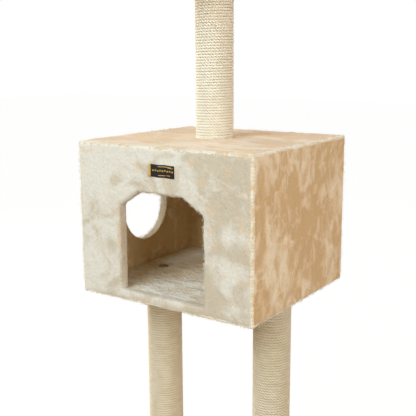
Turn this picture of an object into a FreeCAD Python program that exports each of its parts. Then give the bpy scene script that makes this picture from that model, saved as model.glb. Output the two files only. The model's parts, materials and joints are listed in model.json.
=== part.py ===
# Cat tree: a plush-covered base board, two sisal posts, a plush-covered house with a door and a
# side window, one more sisal post on its roof, and a plush-covered perch with a stuffed rim.
#
# Units are millimetres. The origin is on the floor, at the middle of the base. +Z is up and the
# door faces -Y. Every node is written to parts/NODE.step, and nothing in the object moves.
import FreeCAD, Part

import math
import os

from FreeCAD import Vector

# ---------------------------------------------------------------- driving sizes

# Plush fabric.
PILE = 4.0  # outer cover, pile standing up
LINING = 3.0  # lining of the house walls and ceiling
CRUSHED = 1.0  # what is left of the pile under a post or a washer
HEM = 2.0  # cover folded under the base, pressed flat

# Base.
BASE_WIDTH = 540.0
BASE_DEPTH = 480.0
BASE_BOARD = 18.0
BASE_CORNER = 30.0
BASE_EDGE = 5.0  # rounding of the plush along the base's upper edge
BASE_HEM_WIDTH = 42.0
COUNTERBORE_CLEARANCE = 2.0  # round a washer, all round
COUNTERBORE_DEPTH = 6.0

# Posts.
TUBE_DIAMETER = 70.0
TUBE_WALL = 5.0
ROPE_DIAMETER = 6.0
LOWER_POST_LENGTH = 500.0
UPPER_POST_LENGTH = 340.0
POST_INSET = 29.0  # from the side of the house to the rope of the post under it
PLUG_THICKNESS = 18.0
SEAT_CLEARANCE = 0.5  # round a post's end, in the crushed pile

# House, measured over the plush.
HOUSE_WIDTH = 432.0
HOUSE_DEPTH = 394.0
HOUSE_HEIGHT = 330.0
HOUSE_BOARD = 15.0
HOUSE_EDGE = 7.0  # rounding of the plush along every outer edge
DOOR_WIDTH = 213.0
DOOR_LINTEL = 95.0  # from the roof down to the door's top
DOOR_CORNER_WIDTH = 51.0
DOOR_CORNER_HEIGHT = 31.0
WINDOW_DIAMETER = 154.0
WINDOW_HEIGHT = 158.0  # of its centre above the house's underside

# Perch, measured over the plush, with the rim standing on it.
PERCH_WIDTH = 360.0
PERCH_DEPTH = 340.0
PERCH_BOARD = 15.0
PERCH_CORNER = 75.0
PERCH_EDGE = 5.0
RIM_DIAMETER = 56.0
RIM_SUNK = 6.0  # how much of the rim's roundness is pressed flat against the perch

# Woven label above the door.
LABEL_WIDTH = 62.0
LABEL_HEIGHT = 25.0
LABEL_THICKNESS = 0.8
LABEL_OFFSET = 8.0  # to the right of the door's middle

# Connector bolts, washers and tee nuts.
BOLT_DIAMETER = 8.0
BOLT_LENGTH = 40.0
BOLT_HEAD_DIAMETER = 16.0
BOLT_HEAD_HEIGHT = 2.4
BOLT_CLEARANCE = 0.5  # round a bolt in its hole
SOCKET_WIDTH = 5.0  # hexagon across flats
SOCKET_DEPTH = 1.6
WASHER_DIAMETER = 24.0
WASHER_THICKNESS = 1.2
TEE_FLANGE_DIAMETER = 21.0
TEE_FLANGE = 1.2
TEE_BARREL_WALL = 0.95
TEE_BARREL = 13.0
THREAD_CLEARANCE = 0.05  # between a bolt and its tee nut, all round

# Wood screws.
SCREW_DIAMETER = 3.5
SCREW_LENGTH = 38.0
SCREW_HEAD_DIAMETER = 7.0
SCREW_HEAD_HEIGHT = 2.2
SCREW_INSET = 60.0  # from a corner of the house to the nearest screw

# Staples, of square wire.
STAPLE_CROWN = 10.0
STAPLE_LEG = 8.0
STAPLE_WIRE = 1.2
STAPLE_SPACING = 72.0
STAPLE_PROUD = 0.4  # out of the rope's surface on a post

# ---------------------------------------------------------------- sizes that follow

POST_DIAMETER = TUBE_DIAMETER + 2 * ROPE_DIAMETER
POST_X = HOUSE_WIDTH / 2 - POST_INSET - POST_DIAMETER / 2
BOLT_HOLE = BOLT_DIAMETER + 2 * BOLT_CLEARANCE
TEE_BORE = BOLT_DIAMETER + 2 * THREAD_CLEARANCE
COUNTERBORE_DIAMETER = WASHER_DIAMETER + 2 * COUNTERBORE_CLEARANCE

BASE_BOARD_BOTTOM = HEM
BASE_BOARD_TOP = BASE_BOARD_BOTTOM + BASE_BOARD
BASE_TOP = BASE_BOARD_TOP + PILE

LOWER_POST_BOTTOM = BASE_BOARD_TOP + CRUSHED
LOWER_POST_TOP = LOWER_POST_BOTTOM + LOWER_POST_LENGTH

FLOOR_BOARD_BOTTOM = LOWER_POST_TOP + CRUSHED
FLOOR_BOARD_TOP = FLOOR_BOARD_BOTTOM + HOUSE_BOARD
HOUSE_BOTTOM = FLOOR_BOARD_BOTTOM - PILE
HOUSE_TOP = HOUSE_BOTTOM + HOUSE_HEIGHT
DOOR_TOP = HOUSE_TOP - DOOR_LINTEL
ROOF_BOARD_TOP = HOUSE_TOP - PILE
ROOF_BOARD_BOTTOM = ROOF_BOARD_TOP - HOUSE_BOARD
WALL_HEIGHT = ROOF_BOARD_BOTTOM - FLOOR_BOARD_TOP

CARCASS_WIDTH = HOUSE_WIDTH - 2 * PILE
CARCASS_DEPTH = HOUSE_DEPTH - 2 * PILE
ROOM_WIDTH = CARCASS_WIDTH - 2 * HOUSE_BOARD
ROOM_DEPTH = CARCASS_DEPTH - 2 * HOUSE_BOARD

UPPER_POST_BOTTOM = ROOF_BOARD_TOP + CRUSHED
UPPER_POST_TOP = UPPER_POST_BOTTOM + UPPER_POST_LENGTH

PERCH_BOARD_BOTTOM = UPPER_POST_TOP + CRUSHED
PERCH_BOARD_TOP = PERCH_BOARD_BOTTOM + PERCH_BOARD
PERCH_BOTTOM = PERCH_BOARD_BOTTOM - PILE
PERCH_TOP = PERCH_BOARD_TOP + PILE

UP = Vector(0, 0, 1)
DOWN = Vector(0, 0, -1)


# ---------------------------------------------------------------- shapes


def block(x_range, y_range, z_range):
    """A box between two values along each axis."""
    size = [high - low for low, high in (x_range, y_range, z_range)]
    corner = Vector(x_range[0], y_range[0], z_range[0])
    return Part.makeBox(size[0], size[1], size[2], corner)


def centred(width, depth, z_range):
    """A box centred on the Z axis."""
    return block((-width / 2, width / 2), (-depth / 2, depth / 2), z_range)


def rounded_slab(width, depth, z_range, corner):
    """A box centred on the Z axis with its four upright edges rounded."""
    slab = centred(width, depth, z_range)
    return slab.makeFillet(corner, upright_edges(slab))


def upright_edges(shape):
    """The edges of a shape that run along Z."""
    edges = []
    for edge in shape.Edges:
        run = edge.Vertexes[-1].Point - edge.Vertexes[0].Point
        if run.Length > 0 and abs(run.z) > 0.999 * run.Length:
            edges.append(edge)
    return edges


def rim_edges(shape, z):
    """The edges of a shape that lie in the plane at height z."""
    return [edge for edge in shape.Edges if all(abs(v.Z - z) < 1e-6 for v in edge.Vertexes)]


def rod(diameter, length, start, direction=UP):
    """A cylinder from start along direction."""
    return Part.makeCylinder(diameter / 2, length, start, direction)


def ring(outer, inner, length, start, direction=UP):
    """A cylinder with a hole along its axis."""
    return rod(outer, length, start, direction).cut(rod(inner, length, start, direction))


def prism(points, direction):
    """A closed outline pushed along direction."""
    face = Part.Face(Part.makePolygon(list(points) + [points[0]]))
    return face.extrude(direction)


def minus(shape, *tools):
    """The shape with every tool cut out of it."""
    for tool in tools:
        shape = shape.cut(tool)
    return shape


# ---------------------------------------------------------------- fasteners


def bolt(seat, direction):
    """A flat-headed connector bolt whose head rests at seat and whose shank runs along direction."""
    crown = seat - direction * BOLT_HEAD_HEIGHT
    head = rod(BOLT_HEAD_DIAMETER, BOLT_HEAD_HEIGHT, crown, direction)
    shank = rod(BOLT_DIAMETER, BOLT_LENGTH, seat, direction)
    across_corners = SOCKET_WIDTH / math.cos(math.radians(30))
    corners = []
    for step in range(6):
        angle = math.radians(60 * step)
        reach = Vector(math.cos(angle), math.sin(angle), 0) * (across_corners / 2)
        corners.append(crown + reach)
    return head.fuse(shank).removeSplitter().cut(prism(corners, direction * SOCKET_DEPTH))


def washer(seat, direction):
    """A washer that lies on seat, under a bolt that runs along direction."""
    start = seat - direction * WASHER_THICKNESS
    return ring(WASHER_DIAMETER, BOLT_HOLE, WASHER_THICKNESS, start, direction)


def bolt_hole(x, y):
    """The clearance hole of one bolt, all the way up the object."""
    return rod(BOLT_HOLE, PERCH_TOP, Vector(x, y, 0))


def washer_seat(surface, direction):
    """The space over a washer pressed into plush: from its own underside outwards."""
    return rod(WASHER_DIAMETER + SEAT_CLEARANCE, PILE, surface, direction * -1)


def tee_nut(face, outward):
    """A tee nut whose flange lies on a plug's inner face; outward points to the post's end."""
    flange = rod(TEE_FLANGE_DIAMETER, TEE_FLANGE, face - outward * TEE_FLANGE, outward)
    barrel = rod(TEE_BORE + 2 * TEE_BARREL_WALL, TEE_BARREL, face, outward)
    bore = rod(TEE_BORE, TEE_FLANGE + TEE_BARREL, face - outward * TEE_FLANGE, outward)
    return flange.fuse(barrel).cut(bore)


def wood_screw(surface, direction):
    """A countersunk wood screw with its head flush with surface."""
    head = Part.makeCone(
        SCREW_HEAD_DIAMETER / 2, SCREW_DIAMETER / 2, SCREW_HEAD_HEIGHT, surface, direction
    )
    neck = surface + direction * SCREW_HEAD_HEIGHT
    tip = SCREW_DIAMETER
    shank = rod(SCREW_DIAMETER, SCREW_LENGTH - SCREW_HEAD_HEIGHT - tip, neck, direction)
    tip_start = surface + direction * (SCREW_LENGTH - tip)
    point = Part.makeCone(SCREW_DIAMETER / 2, 0, tip, tip_start, direction)
    return head.fuse([shank, point]).removeSplitter()


def staple(surface, inward, along):
    """A staple whose crown starts at surface; its legs run inward and its crown lies along."""
    across = inward.cross(along)
    corner = surface - along * (STAPLE_CROWN / 2) - across * (STAPLE_WIRE / 2)

    def bar(start, length, depth):
        foot = [
            start,
            start + along * length,
            start + along * length + across * STAPLE_WIRE,
            start + across * STAPLE_WIRE,
        ]
        return prism(foot, inward * depth)

    crown = bar(corner, STAPLE_CROWN, STAPLE_WIRE)
    far = corner + along * (STAPLE_CROWN - STAPLE_WIRE)
    legs = [bar(start, STAPLE_WIRE, STAPLE_WIRE + STAPLE_LEG) for start in (corner, far)]
    return crown.fuse(legs).removeSplitter()


def spread(length, spacing):
    """Evenly spaced places along a length, centred on its middle."""
    count = max(1, round(length / spacing))
    return [(place + 0.5) * length / count - length / 2 for place in range(count)]


# ---------------------------------------------------------------- posts


def post_seat(x, y, contact, outward):
    """What a post's end presses flat in plush: outward points away from the board under it."""
    start = Vector(x, y, contact)
    return rod(POST_DIAMETER + 2 * SEAT_CLEARANCE, 2 * PILE, start, outward)


def post(prefix, x, bottom, length):
    """One post: cardboard tube, two wooden plugs, tee nuts, the wound rope and its staples."""
    foot = Vector(x, 0, bottom)
    head = Vector(x, 0, bottom + length)
    bore = TUBE_DIAMETER - 2 * TUBE_WALL
    tube = ring(TUBE_DIAMETER, bore, length, foot)
    rope = ring(POST_DIAMETER, TUBE_DIAMETER, length, foot)

    lower_face = foot + UP * PLUG_THICKNESS
    upper_face = head + DOWN * PLUG_THICKNESS
    nuts = [tee_nut(lower_face, DOWN), tee_nut(upper_face, UP)]
    shank_hole = rod(BOLT_HOLE, length, foot)
    lower_plug = minus(rod(bore, PLUG_THICKNESS, foot), shank_hole, *nuts)
    upper_plug = minus(rod(bore, PLUG_THICKNESS, upper_face), shank_hole, *nuts)

    staples = []
    for level in (PLUG_THICKNESS / 2, length - PLUG_THICKNESS / 2):
        for side in (1, -1):
            outwards = Vector(0, side, 0)
            surface = foot + UP * level + outwards * (POST_DIAMETER / 2 + STAPLE_PROUD)
            staples.append(staple(surface, outwards * -1, UP))
    return {
        prefix + "_tube": minus(tube, *staples),
        prefix + "_sisal_rope": minus(rope, *staples),
        prefix + "_bottom_plug": lower_plug,
        prefix + "_top_plug": upper_plug,
        prefix + "_tee_nuts": Part.makeCompound(nuts),
        prefix + "_rope_staples": Part.makeCompound(staples),
    }


def posts():
    """The two posts under the house and the one on its roof."""
    made = {}
    made.update(post("left_post", -POST_X, LOWER_POST_BOTTOM, LOWER_POST_LENGTH))
    made.update(post("right_post", POST_X, LOWER_POST_BOTTOM, LOWER_POST_LENGTH))
    made.update(post("upper_post", 0, UPPER_POST_BOTTOM, UPPER_POST_LENGTH))
    return made


# ---------------------------------------------------------------- base


def base_staples():
    """Staples through the hem under the base, a crown's width up from the floor."""
    line_x = BASE_WIDTH / 2 - PILE - BASE_HEM_WIDTH / 2
    line_y = BASE_DEPTH / 2 - PILE - BASE_HEM_WIDTH / 2
    height = HEM - STAPLE_WIRE - STAPLE_PROUD
    straight_x = BASE_WIDTH - 2 * BASE_CORNER
    straight_y = BASE_DEPTH - 2 * BASE_CORNER
    made = []
    for side in (1, -1):
        for x in spread(straight_x, STAPLE_SPACING):
            made.append(staple(Vector(x, side * line_y, height), UP, Vector(1, 0, 0)))
        for y in spread(straight_y, STAPLE_SPACING):
            made.append(staple(Vector(side * line_x, y, height), UP, Vector(0, 1, 0)))
    return made


def base():
    """The base board, its plush cover, hem staples, and the bolts up into the lower posts."""
    board = rounded_slab(
        BASE_WIDTH - 2 * PILE,
        BASE_DEPTH - 2 * PILE,
        (BASE_BOARD_BOTTOM, BASE_BOARD_TOP),
        BASE_CORNER - PILE,
    )
    cover = rounded_slab(BASE_WIDTH, BASE_DEPTH, (0, BASE_TOP), BASE_CORNER)
    cover = cover.makeFillet(BASE_EDGE, rim_edges(cover, BASE_TOP)).cut(board)
    hem_reach = 2 * (PILE + BASE_HEM_WIDTH)
    cover = cover.cut(centred(BASE_WIDTH - hem_reach, BASE_DEPTH - hem_reach, (0, HEM)))

    staples = base_staples()
    dimples = []
    for made in staples:
        low, high = made.BoundBox, HEM - STAPLE_PROUD
        dimples.append(block((low.XMin, low.XMax), (low.YMin, low.YMax), (0, high)))
    head_level = BASE_BOARD_BOTTOM + COUNTERBORE_DEPTH
    bolts, washers = [], []
    for x in (-POST_X, POST_X):
        bore_start = Vector(x, 0, BASE_BOARD_BOTTOM)
        counterbore = rod(COUNTERBORE_DIAMETER, COUNTERBORE_DEPTH, bore_start)
        board = minus(board, counterbore, bolt_hole(x, 0))
        cover = minus(cover, post_seat(x, 0, LOWER_POST_BOTTOM, UP), bolt_hole(x, 0))
        seat = Vector(x, 0, head_level)
        washers.append(washer(seat, UP))
        bolts.append(bolt(seat - UP * WASHER_THICKNESS, UP))
    return {
        "base_board": minus(board, *staples),
        "base_plush_cover": minus(cover, *staples, *dimples),
        "base_hem_staples": Part.makeCompound(staples),
        "base_bolts": Part.makeCompound(bolts),
        "base_washers": Part.makeCompound(washers),
    }


# ---------------------------------------------------------------- house


def door_prism(grow, front, back):
    """The door's outline, grown by some plush, from y front to y back and down past the floor."""
    half = DOOR_WIDTH / 2 + grow
    top = DOOR_TOP + grow
    shoulder = top - DOOR_CORNER_HEIGHT
    flat = half - DOOR_CORNER_WIDTH
    outline = [
        Vector(-half, front, FLOOR_BOARD_TOP),
        Vector(-half, front, shoulder),
        Vector(-flat, front, top),
        Vector(flat, front, top),
        Vector(half, front, shoulder),
        Vector(half, front, FLOOR_BOARD_TOP),
    ]
    return prism(outline, Vector(0, back - front, 0))


def window_rod(grow):
    """The round window in the left wall, grown by some plush, through the wall only."""
    centre = Vector(-HOUSE_WIDTH / 2 - 1, 0, HOUSE_BOTTOM + WINDOW_HEIGHT)
    length = HOUSE_WIDTH / 4
    return rod(WINDOW_DIAMETER + 2 * grow, length, centre, Vector(1, 0, 0))


def screw_line(length, step):
    """Places of the screws along one edge of the house."""
    reach = length / 2 - SCREW_INSET
    return [-reach, reach] if step == 2 else [-reach, 0, reach]


def house_screws():
    """The four groups of wood screws that hold the house's boards together."""
    wall_x = CARCASS_WIDTH / 2 - HOUSE_BOARD / 2
    wall_y = CARCASS_DEPTH / 2 - HOUSE_BOARD / 2
    groups = {"floor_screws": [], "roof_screws": [], "front_wall_screws": [], "back_wall_screws": []}
    for side in (1, -1):
        for y in screw_line(ROOM_DEPTH, 2):
            low = Vector(side * wall_x, y, FLOOR_BOARD_BOTTOM)
            high = Vector(side * wall_x, y, ROOF_BOARD_TOP)
            groups["floor_screws"].append(wood_screw(low, UP))
            groups["roof_screws"].append(wood_screw(high, DOWN))
        for x in screw_line(CARCASS_WIDTH, 2):
            low = Vector(x, side * wall_y, FLOOR_BOARD_BOTTOM)
            groups["floor_screws"].append(wood_screw(low, UP))
        for x in screw_line(CARCASS_WIDTH, 3):
            high = Vector(x, side * wall_y, ROOF_BOARD_TOP)
            groups["roof_screws"].append(wood_screw(high, DOWN))
        for z in screw_line(WALL_HEIGHT, 3):
            middle = (FLOOR_BOARD_TOP + ROOF_BOARD_BOTTOM) / 2 + z
            front = Vector(side * wall_x, -CARCASS_DEPTH / 2, middle)
            back = Vector(side * wall_x, CARCASS_DEPTH / 2, middle)
            groups["front_wall_screws"].append(wood_screw(front, Vector(0, 1, 0)))
            groups["back_wall_screws"].append(wood_screw(back, Vector(0, -1, 0)))
    return groups


def house_boards(screws):
    """The six pressed-wood boards, drilled for the bolts and the screws."""
    walls = (FLOOR_BOARD_TOP, ROOF_BOARD_BOTTOM)
    half_width, half_depth = CARCASS_WIDTH / 2, CARCASS_DEPTH / 2
    side_y = (-ROOM_DEPTH / 2, ROOM_DEPTH / 2)
    full_x = (-half_width, half_width)
    floor = centred(CARCASS_WIDTH, CARCASS_DEPTH, (FLOOR_BOARD_BOTTOM, FLOOR_BOARD_TOP))
    roof = centred(CARCASS_WIDTH, CARCASS_DEPTH, (ROOF_BOARD_BOTTOM, ROOF_BOARD_TOP))
    front = block(full_x, (-half_depth, -ROOM_DEPTH / 2), walls)
    back = block(full_x, (ROOM_DEPTH / 2, half_depth), walls)
    left = block((-half_width, -ROOM_WIDTH / 2), side_y, walls)
    right = block((ROOM_WIDTH / 2, half_width), side_y, walls)

    floor = minus(floor, bolt_hole(-POST_X, 0), bolt_hole(POST_X, 0))
    roof = roof.cut(bolt_hole(0, 0))
    front = front.cut(door_prism(PILE, -half_depth, -ROOM_DEPTH / 2))
    left = left.cut(window_rod(PILE))
    every_screw = [screw for group in screws.values() for screw in group]
    boards = {
        "house_floor_board": floor,
        "house_roof_board": roof,
        "house_front_board": front,
        "house_back_board": back,
        "house_left_board": left,
        "house_right_board": right,
    }
    return {name: minus(board, *every_screw) for name, board in boards.items()}


def cover_wedge(corners):
    """An upright prism over a plan outline, between the floor and roof covers."""
    points = [Vector(x, y, FLOOR_BOARD_BOTTOM) for x, y in corners]
    return prism(points, UP * (ROOF_BOARD_TOP - FLOOR_BOARD_BOTTOM))


def house_covers():
    """The plush outside the house: one panel to a face, mitred at the upright corners."""
    outer = centred(HOUSE_WIDTH, HOUSE_DEPTH, (HOUSE_BOTTOM, HOUSE_TOP))
    outer = outer.makeFillet(HOUSE_EDGE, outer.Edges)
    carcass = (FLOOR_BOARD_BOTTOM, ROOF_BOARD_TOP)
    shell = outer.cut(centred(CARCASS_WIDTH, CARCASS_DEPTH, carcass))

    x, y = HOUSE_WIDTH / 2, HOUSE_DEPTH / 2
    reach = min(x, y) / 2  # how far in each wedge runs, at 45 degrees from the corners
    front_wedge = cover_wedge([(-x, -y), (x, -y), (x - reach, reach - y), (reach - x, reach - y)])
    left_wedge = cover_wedge([(-x, -y), (reach - x, reach - y), (reach - x, y - reach), (-x, y)])
    middle = Vector(0, 0, 0)
    back_wedge = front_wedge.mirror(middle, Vector(0, 1, 0))
    right_wedge = left_wedge.mirror(middle, Vector(1, 0, 0))

    # The front panel is wrapped round the door's edge, as deep as the wall.
    door = door_prism(0, -y, -ROOM_DEPTH / 2)
    band = door_prism(PILE, -CARCASS_DEPTH / 2, -ROOM_DEPTH / 2)
    sill = (FLOOR_BOARD_TOP, FLOOR_BOARD_TOP + PILE)
    threshold = centred(HOUSE_WIDTH, HOUSE_DEPTH, sill)
    front = shell.common(front_wedge).fuse(band).cut(door.cut(threshold)).removeSplitter()
    front = front.cut(centred(CARCASS_WIDTH, ROOM_DEPTH, (HOUSE_BOTTOM, HOUSE_TOP)))

    # The left panel is wrapped round the window's edge in the same way.
    band = window_rod(PILE).common(block((-CARCASS_WIDTH / 2, -ROOM_WIDTH / 2), (-y, y), carcass))
    left = shell.common(left_wedge).fuse(band).cut(window_rod(0)).removeSplitter()

    slab = (HOUSE_BOTTOM, FLOOR_BOARD_BOTTOM)
    bottom = shell.common(centred(HOUSE_WIDTH, HOUSE_DEPTH, slab))
    for post_x in (-POST_X, POST_X):
        bottom = minus(bottom, post_seat(post_x, 0, LOWER_POST_TOP, DOWN), bolt_hole(post_x, 0))
    top = shell.common(centred(HOUSE_WIDTH, HOUSE_DEPTH, (ROOF_BOARD_TOP, HOUSE_TOP)))
    top = minus(top, post_seat(0, 0, UPPER_POST_BOTTOM, UP), bolt_hole(0, 0))
    return {
        "house_front_plush": front,
        "house_back_plush": shell.common(back_wedge),
        "house_left_plush": left,
        "house_right_plush": shell.common(right_wedge),
        "house_top_plush": top,
        "house_underside_plush": bottom,
    }


def house_linings():
    """The plush inside the house: walls and ceiling thinner than the floor."""
    floor_top = FLOOR_BOARD_TOP + PILE
    ceiling = ROOF_BOARD_BOTTOM - LINING
    x, y = ROOM_WIDTH / 2, ROOM_DEPTH / 2
    height = (floor_top, ceiling)
    floor = centred(ROOM_WIDTH, ROOM_DEPTH, (FLOOR_BOARD_TOP, floor_top))
    roof = centred(ROOM_WIDTH, ROOM_DEPTH, (ceiling, ROOF_BOARD_BOTTOM))
    for post_x in (-POST_X, POST_X):
        surface = Vector(post_x, 0, FLOOR_BOARD_TOP + CRUSHED)
        floor = minus(floor, washer_seat(surface, DOWN), bolt_hole(post_x, 0))
    surface = Vector(0, 0, ROOF_BOARD_BOTTOM - CRUSHED)
    roof = minus(roof, washer_seat(surface, UP), bolt_hole(0, 0))
    front = block((-x, x), (-y, LINING - y), height).cut(door_prism(0, -y, LINING - y))
    back = block((-x, x), (y - LINING, y), height)
    side_y = (LINING - y, y - LINING)
    left = block((-x, LINING - x), side_y, height).cut(window_rod(0))
    right = block((x - LINING, x), side_y, height)
    return {
        "house_floor_lining": floor,
        "house_ceiling_lining": roof,
        "house_front_lining": front,
        "house_back_lining": back,
        "house_left_lining": left,
        "house_right_lining": right,
    }


def house_bolts():
    """Bolts down through the floor into the lower posts, and up through the roof."""
    bolts, washers = [], []
    for x in (-POST_X, POST_X):
        seat = Vector(x, 0, FLOOR_BOARD_TOP + CRUSHED)
        washers.append(washer(seat, DOWN))
        bolts.append(bolt(seat + UP * WASHER_THICKNESS, DOWN))
    seat = Vector(0, 0, ROOF_BOARD_BOTTOM - CRUSHED)
    return {
        "floor_bolts": Part.makeCompound(bolts),
        "floor_washers": Part.makeCompound(washers),
        "roof_bolt": bolt(seat + DOWN * WASHER_THICKNESS, UP),
        "roof_washer": washer(seat, UP),
    }


def label():
    """The woven label sewn on the front panel, half way between the door and the roof."""
    front = -HOUSE_DEPTH / 2
    middle = (DOOR_TOP + HOUSE_TOP) / 2
    return block(
        (LABEL_OFFSET - LABEL_WIDTH / 2, LABEL_OFFSET + LABEL_WIDTH / 2),
        (front - LABEL_THICKNESS, front),
        (middle - LABEL_HEIGHT / 2, middle + LABEL_HEIGHT / 2),
    )


def house():
    """The whole house between the lower posts and the upper one."""
    screws = house_screws()
    made = house_boards(screws)
    made.update({name: Part.makeCompound(group) for name, group in screws.items()})
    made.update(house_covers())
    made.update(house_linings())
    made.update(house_bolts())
    made["front_label"] = label()
    return made


# ---------------------------------------------------------------- perch


def rim_path(height):
    """The stuffed rim's centre line: a rounded rectangle in the plane at height."""
    inset = RIM_DIAMETER / 2
    outline = rounded_slab(
        PERCH_WIDTH - 2 * inset, PERCH_DEPTH - 2 * inset, (height, height + 1), PERCH_CORNER - inset
    )
    return Part.Wire(Part.__sortEdges__(rim_edges(outline, height)))


def perch():
    """The perch on the upper post: board, plush envelope, stuffed rim, bolt and washer."""
    inner = (PERCH_WIDTH - 2 * PILE, PERCH_DEPTH - 2 * PILE)
    corner = PERCH_CORNER - PILE
    board = rounded_slab(inner[0], inner[1], (PERCH_BOARD_BOTTOM, PERCH_BOARD_TOP), corner)
    cover = rounded_slab(PERCH_WIDTH, PERCH_DEPTH, (PERCH_BOTTOM, PERCH_TOP), PERCH_CORNER)
    edges = rim_edges(cover, PERCH_TOP) + rim_edges(cover, PERCH_BOTTOM)
    cover = cover.makeFillet(PERCH_EDGE, edges).cut(board)
    board = board.cut(bolt_hole(0, 0))
    seat = Vector(0, 0, PERCH_BOARD_TOP + CRUSHED)
    under_seat = post_seat(0, 0, UPPER_POST_TOP, DOWN)
    cover = minus(cover, under_seat, washer_seat(seat, DOWN), bolt_hole(0, 0))

    height = PERCH_TOP + RIM_DIAMETER / 2 - RIM_SUNK
    path = rim_path(height)
    start = path.Edges[0].Vertexes[0].Point
    tangent = path.Edges[0].tangentAt(path.Edges[0].FirstParameter)
    section = Part.Wire(Part.makeCircle(RIM_DIAMETER / 2, start, tangent))
    rim = path.makePipeShell([section], True, False)
    below = centred(2 * PERCH_WIDTH, 2 * PERCH_DEPTH, (PERCH_TOP - RIM_DIAMETER, PERCH_TOP))
    rim = Part.Solid(rim) if rim.ShapeType == "Shell" else rim
    return {
        "perch_board": board,
        "perch_plush_cover": cover,
        "perch_rim": rim.cut(below),
        "perch_bolt": bolt(seat + UP * WASHER_THICKNESS, DOWN),
        "perch_washer": washer(seat, DOWN),
    }


# ---------------------------------------------------------------- export


def solids_of(shape):
    """The shape as one compound of its solids, each checked for closure and volume."""
    solids = shape.Solids
    for solid in solids:
        if not solid.isValid() or solid.Volume <= 0:
            raise ValueError("a solid is not closed")
    return solids[0] if len(solids) == 1 else Part.makeCompound(solids)


def main():
    """Builds every node and writes it as a STEP file."""
    os.makedirs("parts", exist_ok=True)
    nodes = {}
    for made in (base(), posts(), house(), perch()):
        nodes.update(made)
    for name, shape in nodes.items():
        solids_of(shape).exportStep(os.path.join("parts", name + ".step"))
    print(len(nodes), "nodes, top at", round(PERCH_TOP - RIM_SUNK + RIM_DIAMETER, 1), "mm")


main()
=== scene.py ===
"""A cat tree: plush, sisal rope, stitching and fittings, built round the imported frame.

Each sub-assembly is a class that builds its own pieces, and each finish is a small class that makes
one procedural material. Lengths are in metres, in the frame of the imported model.
"""

from __future__ import annotations

import json
import logging
import math
from contextlib import contextmanager
from dataclasses import dataclass, field, replace
from enum import Enum
from typing import Callable, Iterable, Iterator, Optional, Protocol, Sequence

import bmesh
import bpy
import numpy as np
from mathutils import Matrix, Vector

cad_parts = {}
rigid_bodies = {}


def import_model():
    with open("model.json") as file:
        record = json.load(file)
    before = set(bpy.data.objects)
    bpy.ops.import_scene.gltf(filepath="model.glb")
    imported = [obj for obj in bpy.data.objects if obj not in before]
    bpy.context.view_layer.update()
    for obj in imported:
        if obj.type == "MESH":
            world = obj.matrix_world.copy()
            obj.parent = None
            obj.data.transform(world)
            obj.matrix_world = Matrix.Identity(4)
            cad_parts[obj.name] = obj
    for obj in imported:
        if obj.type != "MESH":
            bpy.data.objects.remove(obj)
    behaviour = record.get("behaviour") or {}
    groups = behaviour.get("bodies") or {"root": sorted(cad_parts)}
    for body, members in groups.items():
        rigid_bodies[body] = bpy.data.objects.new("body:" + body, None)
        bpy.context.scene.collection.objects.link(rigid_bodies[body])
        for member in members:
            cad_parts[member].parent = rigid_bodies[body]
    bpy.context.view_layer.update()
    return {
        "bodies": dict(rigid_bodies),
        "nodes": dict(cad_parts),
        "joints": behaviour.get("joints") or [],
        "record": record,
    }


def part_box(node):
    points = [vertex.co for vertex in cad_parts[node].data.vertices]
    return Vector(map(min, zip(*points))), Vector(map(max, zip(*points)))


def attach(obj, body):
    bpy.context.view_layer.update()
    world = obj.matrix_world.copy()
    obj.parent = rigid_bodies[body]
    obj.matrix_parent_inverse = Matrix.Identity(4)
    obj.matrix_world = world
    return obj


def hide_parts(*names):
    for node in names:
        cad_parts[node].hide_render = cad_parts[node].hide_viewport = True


LOG = logging.getLogger("cat_tree")
MM = 0.001
ROOT = "root"

Pair = tuple[float, float]
Triple = tuple[float, float, float]
Tint = tuple[float, float, float, float]
Socket = bpy.types.NodeSocket
Piece = bpy.types.Object


# ---------------------------------------------------------------- colour and node helpers


def rgb(red: int, green: int, blue: int) -> Tint:
    """Linear colour of an 8-bit display colour.

    Args:
        red: Red, 0 to 255.
        green: Green, 0 to 255.
        blue: Blue, 0 to 255.

    Returns:
        The four values that a colour socket takes.
    """
    linear = []
    for value in (red, green, blue):
        share = value / 255
        linear.append(share / 12.92 if share <= 0.04045 else ((share + 0.055) / 1.055) ** 2.4)
    return (linear[0], linear[1], linear[2], 1.0)


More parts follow.
